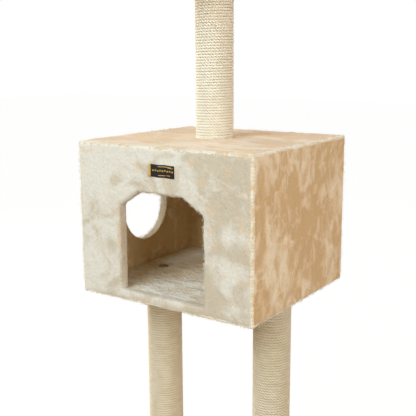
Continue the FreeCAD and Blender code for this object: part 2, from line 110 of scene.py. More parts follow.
class Recipe:
    """A material under construction: its node tree and the few nodes that every finish uses."""

    def __init__(self, name: str) -> None:
        """Starts a material with one Principled shader.

        Args:
            name: The material's name.
        """
        self.material = bpy.data.materials.new(name)
        self.material.use_nodes = True
        self.tree = self.material.node_tree
        self.shader = self.tree.nodes["Principled BSDF"]

    def node(self, kind: str, **settings: object) -> bpy.types.Node:
        """Adds a node and sets its properties or, by name, its input values.

        Args:
            kind: The node's type name.
            settings: Property or input values, with spaces in input names written as _.

        Returns:
            The new node.
        """
        made = self.tree.nodes.new(kind)
        for key, value in settings.items():
            if hasattr(made, key):
                setattr(made, key, value)
            else:
                made.inputs[key.replace("_", " ")].default_value = value
        return made

    def link(self, source: Socket, target: Socket) -> None:
        """Links two sockets."""
        self.tree.links.new(source, target)

    def axes(self, vector: Socket) -> tuple[Socket, Socket, Socket]:
        """The X, Y and Z of a vector.

        Args:
            vector: The vector output.

        Returns:
            Its three value outputs.
        """
        made = self.node("ShaderNodeSeparateXYZ")
        self.link(vector, made.inputs["Vector"])
        return made.outputs["X"], made.outputs["Y"], made.outputs["Z"]

    def place(self, stretch: Sequence[float], offset: Sequence[float] = (0, 0, 0)) -> Socket:
        """Object coordinates, shifted and then divided by a length along each axis.

        Args:
            stretch: The length of one pattern unit along X, Y and Z.
            offset: What is added afterwards, to move the pattern.

        Returns:
            The vector output.
        """
        source = self.node("ShaderNodeTexCoord").outputs["Object"]
        mapping = self.node("ShaderNodeMapping")
        mapping.inputs["Scale"].default_value = [1 / length for length in stretch]
        mapping.inputs["Location"].default_value = offset
        self.link(source, mapping.inputs["Vector"])
        return mapping.outputs["Vector"]

    def noise(self, vector: Socket, detail: float = 3.0, **settings: float) -> Socket:
        """Noise read at a vector, with one feature to a unit.

        Args:
            vector: Where it is read.
            detail: How many finer layers it has.
            settings: Other inputs of the noise node.

        Returns:
            The value output.
        """
        made = self.node("ShaderNodeTexNoise", Scale=1.0, Detail=detail, **settings)
        self.link(vector, made.inputs["Vector"])
        return made.outputs["Fac"]

    def ramp(self, value: Socket, low: float, high: float) -> Socket:
        """Stretches a value smoothly.

        Args:
            value: What is stretched.
            low: The value that becomes 0.
            high: The value that becomes 1.

        Returns:
            The stretched value.
        """
        made = self.node("ShaderNodeMapRange", interpolation_type="SMOOTHSTEP")
        made.inputs["From Min"].default_value = low
        made.inputs["From Max"].default_value = high
        self.link(value, made.inputs["Value"])
        return made.outputs["Result"]

    def math(self, operation: str, *values: Socket | float) -> Socket:
        """Adds one arithmetic step.

        Args:
            operation: The step's name.
            values: The sockets and numbers that it takes.

        Returns:
            The value output.
        """
        made = self.node("ShaderNodeMath", operation=operation)
        for socket, value in zip(made.inputs, values):
            if isinstance(value, (int, float)):
                socket.default_value = value
            else:
                self.link(value, socket)
        return made.outputs["Value"]

    def swing(self, noise: Socket, amount: float, base: Socket) -> Socket:
        """A base value that a noise pushes up and down by its distance from a half."""
        return self.math("MULTIPLY_ADD", self.math("SUBTRACT", noise, 0.5), amount, base)

    def mix(
        self,
        factor: Optional[Socket],
        first: Socket | Sequence[float],
        second: Socket | Sequence[float],
        blend: str = "MIX",
    ) -> Socket:
        """Blends two colours.

        Args:
            factor: How much of the second colour shows, or nothing for all of it.
            first: The colour underneath, a socket or a fixed colour.
            second: The colour over it.
            blend: How they blend.

        Returns:
            The colour output.
        """
        made = self.node("ShaderNodeMix", data_type="RGBA", blend_type=blend)
        made.inputs["Factor"].default_value = 1.0
        if factor is not None:
            self.link(factor, made.inputs["Factor"])
        for socket, colour in zip((made.inputs[6], made.inputs[7]), (first, second)):
            if isinstance(colour, Socket):
                self.link(colour, socket)
            else:
                socket.default_value = colour
        return made.outputs[2]

    def bump(self, height: Socket, distance: float, strength: float = 1.0) -> None:
        """Adds a bump under any bump that the shader already has.

        Args:
            height: The pattern that stands out.
            distance: How far it stands out, in metres.
            strength: How much of it shows.
        """
        made = self.node("ShaderNodeBump", Distance=distance, Strength=strength)
        self.link(height, made.inputs["Height"])
        held = self.shader.inputs["Normal"]
        if held.is_linked:
            self.link(held.links[0].from_socket, made.inputs["Normal"])
        self.link(made.outputs["Normal"], held)

    def finish(self, colour: Socket, **settings: object) -> bpy.types.Material:
        """Sets the shader's colour and its uniform values.

        Args:
            colour: The base colour.
            settings: Other inputs of the shader, with spaces in their names written as _.

        Returns:
            The finished material.
        """
        self.link(colour, self.shader.inputs["Base Color"])
        for key, value in settings.items():
            self.shader.inputs[key.replace("_", " ")].default_value = value
        return self.material


# ---------------------------------------------------------------- finishes


class Finish(Protocol):
    """Anything that makes a material."""

    def material(self) -> bpy.types.Material:
        """Builds the material."""


@dataclass(frozen=True)
class PlushFinish:
    """Short brushed plush: cream where the pile leans one way, warmer where it leans back.

    The two tones are the light and shade of the brushed pile, painted into the colour: the cream is
    painted light and the warmer tone painted shade. Broad patches and brush marks mix them, with soft
    thin strokes, a few peach spots and a fine mottle of tufts, darkened by painted shade in their
    hollows, over them. Pattern sizes are lengths along X, Y and Z.
    """

    name: str
    mark: Triple
    warm_share: float = 0.5
    strokes: float = 0.35
    spots: float = 0.6
    soft: float = 0.2
    relief: float = 1.0
    sheen: float = 0.3
    grain: float = 0.3
    feather: Triple = (0.007, 0.007, 0.018)
    pale: Tint = rgb(243, 240, 231)
    warm_shade: Tint = rgb(229, 210, 176)
    peach: Tint = rgb(231, 203, 168)
    shift: float = 0.0
    # How fast the lean, and with it the painted shade, changes along X.
    shade_drift: float = 0.0

    # The same in every plush: sizes of its finer patterns, how far they stand out, and the painted
    # shade that darkens the hollows between its tufts.
    mottle = (0.006, 0.006, 0.006)
    hair = (0.0017, 0.0017, 0.0026)
    stroke_patch = (0.05, 0.05, 0.05)
    spot = (0.030, 0.030, 0.022)
    lean_depth = 0.009
    mottle_depth = 0.0022
    hair_depth = 0.0005
    hair_hollow_shade = (rgb(236, 234, 230), rgb(255, 255, 255))

    def material(self) -> bpy.types.Material:
        """Builds the plush.

        Returns:
            The material.
        """
        recipe = Recipe(self.name)
        mottle = recipe.noise(recipe.place(self.mottle), detail=3.0, Roughness=0.6)
        lean = self.lean(recipe, mottle)
        # Painted light and shade of the brushed pile: cream where the lean is high, the warm painted
        # shade where it is low, as in the lean bump.
        low = 0.38 + 0.36 * self.warm_share - self.soft / 2
        colour = recipe.mix(recipe.ramp(lean, low, low + self.soft), self.warm_shade, self.pale)
        colour = recipe.mix(self.stroke_share(recipe), colour, self.pale)
        colour = recipe.mix(self.spot_share(recipe), colour, self.peach)
        hair = recipe.noise(recipe.place(self.hair), detail=2.0)
        # Painted shade: darker where the hair bump is low, in the hollows between tufts.
        shade = recipe.mix(recipe.ramp(hair, 0.25, 0.55), *self.hair_hollow_shade)
        colour = recipe.mix(None, colour, shade, blend="MULTIPLY")
        recipe.bump(lean, self.lean_depth * self.relief, 0.8)
        recipe.bump(mottle, self.mottle_depth * self.relief, 0.7)
        recipe.bump(hair, self.hair_depth, 0.6)
        return recipe.finish(
            colour,
            Roughness=0.95,
            Sheen_Weight=self.sheen,
            Sheen_Roughness=0.6,
            Specular_IOR_Level=0.1,
        )

    def lean(self, recipe: Recipe, mottle: Socket) -> Socket:
        """Which way the pile leans: brush marks in broad patches, feathered at their edges.

        Args:
            recipe: The material under construction.
            mottle: The noise of the single tufts.

        Returns:
            The lean, about a half in the middle.
        """
        offset = (self.shift, self.shift * 1.7, self.shift * 0.6)
        marks = recipe.noise(recipe.place(self.mark, offset), detail=3.5, Roughness=0.5, Distortion=1.5)
        wide = [length * 2.6 for length in self.mark]
        broad = recipe.noise(recipe.place(wide, (5.3 + self.shift, 1.1, 8.2)), detail=2.0)
        feather = recipe.noise(recipe.place(self.feather), detail=2.0, Distortion=0.6)
        lean = recipe.swing(broad, 0.8, marks)
        lean = recipe.swing(feather, self.grain, lean)
        lean = recipe.swing(mottle, 0.12, lean)
        # Painted shade across the panel: the lean changes steadily along X, so one side comes out
        # warmer.
        if self.shade_drift:
            across = recipe.axes(recipe.place((1, 1, 1)))[0]
            lean = recipe.math("MULTIPLY_ADD", across, self.shade_drift, lean)
        return lean

    def stroke_share(self, recipe: Recipe) -> Socket:
        """How much of the pale tone shows in thin strokes, which come and go in patches.

        Args:
            recipe: The material under construction.

        Returns:
            The share.
        """
        thin = [length * 0.8 for length in self.mark]
        place = recipe.place(thin, (2.2, 9.4 + self.shift, 3.3))
        contour = recipe.noise(place, detail=2.0, Distortion=0.9)
        away = recipe.math("ABSOLUTE", recipe.math("SUBTRACT", contour, 0.5))
        stroke = recipe.math("SUBTRACT", recipe.ramp(away, 0.0, 0.035), 1.0)
        stroke = recipe.math("MULTIPLY", stroke, -self.strokes)
        shown = recipe.ramp(recipe.noise(recipe.place(self.stroke_patch, (1, 4, 7))), 0.42, 0.6)
        return recipe.math("MULTIPLY", stroke, shown)

    def spot_share(self, recipe: Recipe) -> Socket:
        """How much of the peach tone shows in spots.

        Args:
            recipe: The material under construction.

        Returns:
            The share.
        """
        spots = recipe.noise(recipe.place(self.spot, (3.1, 7.7, 1.9)), detail=3.0)
        return recipe.math("MULTIPLY", recipe.ramp(spots, 0.56, 0.70), self.spots)


@dataclass(frozen=True)
class SisalFinish:
    """Twisted sisal: three strands laid round each other, of straw-coloured fibre.

    It is read on the rope's own UV map: U along it in metres, V once round it.
    """

    name: str = "sisal"
    lay_per_metre: float = 150.0
    strands: int = 3
    fibre: Triple = (160.0, 22.0, 1.0)
    patch: Triple = (0.02, 0.02, 0.008)
    pale: Tint = rgb(243, 238, 224)
    straw: Tint = rgb(232, 222, 197)
    dark: Tint = rgb(212, 194, 158)
    # The painted shade where two turns of the coil meet.
    turn_crease_shade: Tint = rgb(168, 140, 98)

    def material(self) -> bpy.types.Material:
        """Builds the sisal, with painted shade in the lay between strands and where two turns meet.

        Returns:
            The material.
        """
        recipe = Recipe(self.name)
        uv = recipe.node("ShaderNodeUVMap", uv_map="rope").outputs["UV"]
        mapping = recipe.node("ShaderNodeMapping")
        mapping.inputs["Scale"].default_value = self.fibre
        recipe.link(uv, mapping.inputs["Vector"])
        fibre = recipe.noise(mapping.outputs["Vector"], detail=4.0, Roughness=0.7)
        along, around, _ = recipe.axes(uv)
        laid = recipe.math("MULTIPLY", along, self.lay_per_metre)
        phase = recipe.math("MULTIPLY_ADD", around, float(self.strands), laid)
        strand = recipe.math("ABSOLUTE", recipe.math("SINE", recipe.math("MULTIPLY", phase, math.pi)))
        patches = recipe.noise(recipe.place(self.patch), detail=3.0)
        colour = recipe.mix(recipe.ramp(patches, 0.35, 0.7), self.pale, self.straw)
        colour = recipe.mix(recipe.ramp(fibre, 0.60, 0.85), colour, self.dark)
        # Painted shade: darker in the lay between strands and where two turns press together.
        lay_shade = recipe.math("MULTIPLY", recipe.math("SUBTRACT", 1.0, strand), 0.55)
        colour = recipe.mix(recipe.ramp(lay_shade, 0.25, 0.55), colour, self.dark)
        aside = recipe.math("PINGPONG", recipe.math("ADD", around, 0.5), 0.5)
        turn_crease_shade = recipe.math("MULTIPLY", recipe.ramp(aside, 0.12, 0.22), 0.6)
        colour = recipe.mix(turn_crease_shade, colour, self.turn_crease_shade)
        recipe.bump(strand, 0.0014, 1.0)
        recipe.bump(fibre, 0.0005, 0.8)
        return recipe.finish(colour, Roughness=0.85, Specular_IOR_Level=0.25, Sheen_Weight=0.15)


@dataclass(frozen=True)
class WoodFinish:
    """Raw wood or board: a base tone, darker grain or flakes, and a fine tooth."""

    name: str
    light: Tint
    dark: Tint
    grain: Triple
    roughness: float = 0.8

    def material(self) -> bpy.types.Material:
        """Builds the wood.

        Returns:
            The material.
        """
        recipe = Recipe(self.name)
        grain = recipe.noise(recipe.place(self.grain), detail=6.0, Roughness=0.7, Distortion=0.6)
        colour = recipe.mix(recipe.ramp(grain, 0.35, 0.65), self.dark, self.light)
        recipe.bump(grain, 0.0004, 0.6)
        return recipe.finish(colour, Roughness=self.roughness, Specular_IOR_Level=0.3)


@dataclass(frozen=True)
class SteelFinish:
    """Plated steel with fine scratches and a patchy shine."""

    name: str
    tone: Tint
    stain: Tint
    roughness: float = 0.35
    metallic: float = 1.0

    def material(self) -> bpy.types.Material:
        """Builds the steel.

        Returns:
            The material.
        """
        recipe = Recipe(self.name)
        stain = recipe.noise(recipe.place((0.004, 0.004, 0.004)), detail=5.0)
        scratches = recipe.noise(recipe.place((0.0004, 0.003, 0.0006)), detail=3.0)
        colour = recipe.mix(recipe.ramp(stain, 0.4, 0.75), self.tone, self.stain)
        recipe.bump(scratches, 0.00008, 0.5)
        return recipe.finish(colour, Metallic=self.metallic, Roughness=self.roughness)


@dataclass(frozen=True)
class ThreadFinish:
    """Sewing thread or woven tape: one colour with a fine twist."""

    name: str
    light: Tint
    dark: Tint
    pitch: float

    def material(self) -> bpy.types.Material:
        """Builds the thread.

        Returns:
            The material.
        """
        recipe = Recipe(self.name)
        weave = recipe.noise(recipe.place((self.pitch, self.pitch * 3, self.pitch)), detail=2.0)
        colour = recipe.mix(recipe.ramp(weave, 0.35, 0.65), self.dark, self.light)
        recipe.bump(weave, 0.0002, 0.8)
        return recipe.finish(colour, Roughness=0.7, Sheen_Weight=0.2, Specular_IOR_Level=0.3)


class Palette:
    """Every finish of the cat tree, each made into a material once, when it is first used."""

    # The plush comes in lit and shaded copies of one material: each face and place has tones set for
    # how the light falls on it, painted light and shade.
    recipes: dict[str, Finish] = {
        # Painted shade: a darker copy of the plush for the front, warmer across X.
        "front": PlushFinish(
            "plush_front_shaded",
            mark=(0.070, 0.070, 0.080),
            warm_share=0.36,
            strokes=0.4,
            spots=0.4,
            soft=0.34,
            relief=0.40,
            grain=0.16,
            shade_drift=-0.65,
            pale=rgb(231, 228, 222),
            warm_shade=rgb(208, 197, 180),
        ),
        "back": PlushFinish(
            "plush_back",
            mark=(0.055, 0.055, 0.080),
            warm_share=0.42,
            soft=0.28,
            relief=0.4,
            grain=0.16,
            shift=11.0,
            pale=rgb(245, 240, 230),
            warm_shade=rgb(226, 210, 182),
        ),
        "left": PlushFinish(
            "plush_left",
            mark=(0.048, 0.048, 0.080),
            warm_share=0.44,
            soft=0.27,
            relief=0.8,
            grain=0.2,
            feather=(0.010, 0.010, 0.040),
            shift=4.0,
            pale=rgb(245, 238, 225),
            warm_shade=rgb(222, 204, 172),
        ),
        # Painted shade: a darker, tanner copy of the plush for the right side.
        "right": PlushFinish(
            "plush_right_shaded",
            mark=(0.048, 0.048, 0.080),
            warm_share=0.54,
            strokes=0.55,
            spots=0.9,
            soft=0.35,
            relief=0.8,
            grain=0.2,
            feather=(0.010, 0.010, 0.040),
            shift=1.0,
            pale=rgb(243, 228, 206),
            warm_shade=rgb(212, 180, 136),
        ),
        "top": PlushFinish(
            "plush_top",
            mark=(0.100, 0.045, 0.050),
            warm_share=0.46,
            strokes=0.6,
            spots=0.8,
            soft=0.26,
            relief=0.5,
            grain=0.16,
            shift=2.0,
            pale=rgb(238, 224, 206),
            warm_shade=rgb(224, 196, 163),
            peach=rgb(238, 200, 160),
        ),
        "under": PlushFinish(
            "plush_under", mark=(0.055, 0.055, 0.055), warm_share=0.60, shift=8.0
        ),
        # Painted shade: a warmer copy of the plush for the shaded inside of the house.
        "lining": PlushFinish(
            "plush_lining_shaded",
            mark=(0.045, 0.045, 0.045),
            warm_share=0.60,
            shift=5.0,
            pale=rgb(244, 228, 196),
            warm_shade=rgb(228, 198, 148),
        ),
        # Painted light: the palest copy of the plush, for the floor inside the door where the light
        # falls.
        "floor": PlushFinish(
            "plush_floor_lit",
            mark=(0.052, 0.024, 0.030),
            warm_share=0.44,
            strokes=0.9,
            soft=0.16,
            relief=1.1,
            sheen=0.5,
            shift=6.0,
            pale=rgb(255, 253, 246),
            warm_shade=rgb(238, 224, 198),
        ),
        "rim": PlushFinish(
            "plush_rim", mark=(0.045, 0.045, 0.040), warm_share=0.45, relief=0.5, shift=3.0
        ),
        # Painted highlight: a paler copy of the plush for the soft edges and tufts, which catch the
        # light.
        "trim": PlushFinish(
            "plush_trim_lit",
            mark=(0.018, 0.018, 0.018),
            warm_share=0.20,
            strokes=0.2,
            spots=0.4,
            relief=0.3,
            sheen=0.8,
        ),
        "sisal": SisalFinish(),
        # Painted light: a paler copy of the sisal for the upper post, which gets more light than the
        # lower ones.
        "sisal_upper": SisalFinish(
            "sisal_upper",
            pale=rgb(255, 254, 248),
            straw=rgb(252, 247, 232),
            dark=rgb(238, 226, 198),
            turn_crease_shade=rgb(206, 184, 146),
        ),
        "pressed_wood": WoodFinish(
            "pressed_wood", rgb(196, 164, 122), rgb(140, 106, 70), (0.006, 0.006, 0.003)
        ),
        "plug_wood": WoodFinish(
            "plug_wood", rgb(214, 182, 134), rgb(176, 136, 88), (0.03, 0.004, 0.004)
        ),
        "cardboard": WoodFinish(
            "cardboard", rgb(170, 138, 100), rgb(146, 114, 80), (0.02, 0.02, 0.0015)
        ),
        "zinc": SteelFinish("zinc_plate", rgb(190, 190, 186), rgb(150, 150, 146)),
        "screw": SteelFinish("yellow_passivated", rgb(196, 176, 110), rgb(150, 128, 70)),
        "staple": SteelFinish(
            "lacquered_wire",
            rgb(248, 238, 212),
            rgb(232, 218, 186),
            roughness=0.6,
            metallic=0.4,
        ),
        "thread": ThreadFinish("seam_thread", rgb(240, 228, 204), rgb(206, 186, 152), pitch=0.0006),
        "label": ThreadFinish("label_tape", rgb(34, 30, 28), rgb(14, 12, 12), pitch=0.0005),
        "gold": ThreadFinish("gold_thread", rgb(236, 198, 112), rgb(186, 142, 62), pitch=0.0005),
    }

    def __init__(self) -> None:
        """Starts with nothing made."""
        self.made: dict[str, bpy.types.Material] = {}

    def __getitem__(self, key: str) -> bpy.types.Material:
        """The material of that name, made on first use.

        Args:
            key: The finish's name.

        Returns:
            The material.
        """
        if key not in self.made:
            self.made[key] = self.recipes[key].material()
        return self.made[key]


# ---------------------------------------------------------------- modelling helpers


@dataclass(frozen=True)
class Box:
    """A box in the frame, between two corners."""

    low: Vector
    high: Vector

    @classmethod
    def of(cls, *nodes: str) -> "Box":
        """The box round one or more CAD nodes.

        Args:
            nodes: The nodes' names.

        Returns:
            Their common box.
        """
        corners = [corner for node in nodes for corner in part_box(node)]
        low = Vector([min(corner[axis] for corner in corners) for axis in range(3)])
        high = Vector([max(corner[axis] for corner in corners) for axis in range(3)])
        return cls(low, high)

    @property
    def size(self) -> Vector:
        """Its size along each axis."""
        return self.high - self.low

    @property
    def middle(self) -> Vector:
        """Its middle."""
        return (self.low + self.high) / 2


def deselect() -> None:
    """Deselects every object."""
    bpy.ops.object.select_all(action="DESELECT")


def activate(obj: Piece) -> None:
    """Makes one object the only selected and active one.

    Args:
        obj: The object.
    """
    deselect()
    obj.select_set(True)
    bpy.context.view_layer.objects.active = obj


@contextmanager
def editing(obj: Piece, selected: bool = True) -> Iterator[None]:
    """Edit mode on one object, as a with block, with all of its mesh selected or none.

    Args:
        obj: The mesh object.
        selected: Whether its mesh starts out selected.

    Yields:
        Nothing, once the mode is on.
    """
    activate(obj)
    bpy.ops.object.mode_set(mode="EDIT")
    bpy.ops.mesh.select_all(action="SELECT" if selected else "DESELECT")
    yield
    bpy.ops.object.mode_set(mode="OBJECT")


def positions(obj: Piece) -> np.ndarray:
    """The vertices of a mesh object, one row each.

    Args:
        obj: The mesh object.

    Returns:
        An array of three columns.
    """
    points = np.empty(len(obj.data.vertices) * 3)
    obj.data.vertices.foreach_get("co", points)
    return points.reshape(-1, 3)


def move_to(obj: Piece, points: np.ndarray) -> None:
    """Sets the vertices of a mesh object."""
    obj.data.vertices.foreach_set("co", points.astype(np.float32).ravel())
    obj.data.update()


def smoothstep(value: np.ndarray) -> np.ndarray:
    """0 to 1 with flat ends, for values clipped to that range."""
    clipped = np.clip(value, 0, 1)
    return clipped * clipped * (3 - 2 * clipped)


def apply_modifier(obj: Piece, kind: str, **settings: object) -> None:
    """Adds one modifier to an object and applies it.

    Args:
        obj: The mesh object.
        kind: The modifier's type.
        settings: Its properties.
    """
    activate(obj)
    modifier = obj.modifiers.new(kind.lower(), kind)
    for key, value in settings.items():
        setattr(modifier, key, value)
    bpy.ops.object.modifier_apply(modifier=modifier.name)


def apply_place(obj: Piece) -> None:
    """Puts an object's place, turn and scale into its mesh."""
    activate(obj)
    bpy.ops.object.transform_apply(location=True, rotation=True, scale=True)


def dress(obj: Piece, material: bpy.types.Material, slot: str, *nodes: str) -> Piece:
    """Finishes a piece: material, smooth shading, its body, and hiding the CAD nodes that it replaces.

    Args:
        obj: The piece, in place.
        material: Its material.
        slot: The record's material slot; not used.
        nodes: The CAD nodes that it replaces.

    Returns:
        The piece.
    """
    obj.data.materials.clear()
    obj.data.materials.append(material)
    activate(obj)
    bpy.ops.object.shade_smooth()
    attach(obj, ROOT)
    if nodes:
        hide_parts(*nodes)
    LOG.info("%s: %d faces", obj.name, len(obj.data.polygons))
    return obj


@dataclass(frozen=True)
class NapLayer:
    """One layer of unevenness in plush: how large its lumps are and how far they stand out."""

    lump: float
    depth: float
    along: float = 1.0


PILE_LAYERS = (
    NapLayer(lump=0.060, depth=0.0028),
    NapLayer(lump=0.014, depth=0.0022, along=2.2),
    NapLayer(lump=0.0050, depth=0.0014, along=1.6),
)
PILE_GROUP = "pile"


def raise_pile(obj: Piece, layers: Iterable[NapLayer] = PILE_LAYERS) -> None:
    """Displaces a plush surface where its pile group says, with lumps drawn out along Y.

    Args:
        obj: The sheet, still lying flat at the origin.
        layers: The layers of unevenness.
    """
    for layer in layers:
        texture = bpy.data.textures.new("nap", "CLOUDS")
        texture.noise_scale = layer.lump
        texture.noise_depth = 2
        guide = bpy.data.objects.new("nap_guide", None)
        bpy.context.scene.collection.objects.link(guide)
        guide.scale = (1, layer.along, 1)
        bpy.context.view_layer.update()
        apply_modifier(
            obj,
            "DISPLACE",
            texture=texture,
            texture_coords="OBJECT",
            texture_coords_object=guide,
            strength=layer.depth,
            mid_level=0.5,
            vertex_group=PILE_GROUP,
        )
        bpy.data.objects.remove(guide)
        bpy.data.textures.remove(texture)


# ---------------------------------------------------------------- plush panels


class Facing(Enum):
    """Which way a panel's pile points: its own X and Y axes, in the frame."""

    FRONT = ((1, 0, 0), (0, 0, 1))
    BACK = ((-1, 0, 0), (0, 0, 1))
    LEFT = ((0, -1, 0), (0, 0, 1))
    RIGHT = ((0, 1, 0), (0, 0, 1))
    TOP = ((1, 0, 0), (0, 1, 0))
    UNDER = ((1, 0, 0), (0, -1, 0))

    def matrix(self, place: Vector) -> Matrix:
        """The matrix that lays a flat panel at a place, facing this way.

        Args:
            place: Where the panel's middle goes.

        Returns:
            The matrix.
        """
        across, upwards = (Vector(axis) for axis in self.value)
        turned = Matrix((across, upwards, across.cross(upwards))).transposed().to_4x4()
        return Matrix.Translation(place) @ turned


class Hole(Protocol):
    """A hole in a panel, in the panel's own plane."""

    middle: Pair
    half: Pair
    area: float
    girth: float

    def is_inside(self, points: np.ndarray, step: Pair) -> np.ndarray:
        """Which points of the plain grid are in the hole."""

    def bend(self, points: np.ndarray, step: Pair) -> np.ndarray:
        """The plain grid's points, bent so that the hole's edge is a line of the grid."""


@dataclass(frozen=True)
class ArchedDoor:
    """A door with a level sill and a flat head between two slanted corners.

    Heights are from the panel's middle. Everything includes the roll of the plush round its edge.
    """

    half_width: float
    half_flat: float
    sill: float
    shoulder: float
    head: float
    half_panel: Pair

    @property
    def middle(self) -> Pair:
        """The middle of the door's box."""
        return (0.0, (self.sill + self.head) / 2)

    @property
    def half(self) -> Pair:
        """Half the door's width and height."""
        return (self.half_width, (self.head - self.sill) / 2)

    @property
    def area(self) -> float:
        """The door's area."""
        corners = (self.half_width - self.half_flat) * (self.head - self.shoulder)
        return 2 * self.half_width * (self.head - self.sill) - corners

    @property
    def girth(self) -> float:
        """The length of the door's edge."""
        slant = math.hypot(self.half_width - self.half_flat, self.head - self.shoulder)
        return 2 * (self.half_width + self.half_flat + self.shoulder - self.sill + slant)

    def lines(self, step: Pair) -> tuple[float, ...]:
        """The plain grid's lines nearest to the flat's end, the jamb, the sill and the shoulder.

        Args:
            step: The grid's step along X and Y.

        Returns:
            Where the four lines are.
        """
        flat, jamb = (round(x / step[0]) * step[0] for x in (self.half_flat, self.half_width))
        sill, shoulder = (round(y / step[1]) * step[1] for y in (self.sill, self.shoulder))
        return flat, jamb, sill, shoulder

    def is_inside(self, points: np.ndarray, step: Pair) -> np.ndarray:
        """Which points of the plain grid are in the door."""
        _, jamb, sill, shoulder = self.lines(step)
        return (np.abs(points[:, 0]) < jamb) & (points[:, 1] > sill) & (points[:, 1] < shoulder)

    def bend(self, points: np.ndarray, step: Pair) -> np.ndarray:
        """Bends the grid so that its lines follow the jambs, the sill and the arch.

        Args:
            points: The plain grid's points.
            step: The grid's step along X and Y.

        Returns:
            The bent points.
        """
        flat, jamb, sill, shoulder = self.lines(step)
        wide, high = self.half_panel
        bent = points.copy()
        reach = np.interp(
            np.abs(points[:, 0]), [0, flat, jamb, wide], [0, self.half_flat, self.half_width, wide]
        )
        bent[:, 0] = np.sign(points[:, 0]) * reach
        arch = np.interp(reach, [self.half_flat, self.half_width], [self.head, self.shoulder])
        y = points[:, 1]
        below = np.interp(y, [-high, sill], [-high, self.sill])
        beside = self.sill + (y - sill) / (shoulder - sill) * (arch - self.sill)
        above = arch + (y - shoulder) / (high - shoulder) * (high - arch)
        bent[:, 1] = np.where(y <= sill, below, np.where(y <= shoulder, beside, above))
        return bent


@dataclass(frozen=True)
class RoundWindow:
    """A round hole. The grid round it is drawn from a square block into the circle.

    The block's half side is a share of the radius. The drawing fades out at so many half sides, and
    the rings round the circle stand apart by a share of their plain distance.
    """

    radius: float
    middle: Pair
    block_share: float = 0.785
    fades_at: float = 2.1
    spread: float = 0.62

    @property
    def half(self) -> Pair:
        """Half its width and height."""
        return (self.radius, self.radius)

    @property
    def area(self) -> float:
        """Its area."""
        return math.pi * self.radius**2

    @property
    def girth(self) -> float:
        """The length of its edge."""
        return 2 * math.pi * self.radius

    def block(self, step: Pair) -> tuple[np.ndarray, np.ndarray]:
        """Half the sides of the block, and the grid point at its middle.

        Args:
            step: The grid's step along X and Y.

        Returns:
            Half the block's width and height, and its middle.
        """
        side = [round(self.block_share * self.radius / length) * length for length in step]
        middle = [round(value / length) * length for value, length in zip(self.middle, step)]
        return np.array(side), np.array(middle)

    def is_inside(self, points: np.ndarray, step: Pair) -> np.ndarray:
        """Which points of the plain grid are in the block."""
        side, middle = self.block(step)
        return (np.abs(points[:, :2] - middle) < side).all(1)

    def bend(self, points: np.ndarray, step: Pair) -> np.ndarray:
        """Bends the grid so that the block's edge becomes the circle.

        Args:
            points: The plain grid's points.
            step: The grid's step along X and Y.

        Returns:
            The bent points.
        """
        side, middle = self.block(step)
        square = (points[:, :2] - middle) / side
        ring = np.maximum(np.abs(square).max(1), 1e-9)
        unit = square / ring[:, None]
        circle = unit * np.sqrt(1 - unit[:, ::-1] ** 2 / 2)
        reach = self.radius * (1 + (ring - 1) * self.spread)
        swollen = circle * reach[:, None] + np.array(self.middle)
        share = smoothstep((ring - 1) / (self.fades_at - 1))[:, None]
        bent = points.copy()
        bent[:, :2] = swollen * (1 - share) + points[:, :2] * share
        return bent


def roll(radius: float, angle: float, steps: int) -> list[Pair]:
    """The steps of an edge that rolls over: how far each goes outwards and down.

    Args:
        radius: The roll's radius.
        angle: How far it rolls, in degrees.
        steps: How many steps it takes.

    Returns:
        A list of (outwards, down) for each step.
    """
    angles = [math.radians(angle) * step / steps for step in range(steps + 1)]
    return [
        (radius * (math.sin(b) - math.sin(a)), radius * (math.cos(a) - math.cos(b)))
        for a, b in zip(angles, angles[1:])
    ]


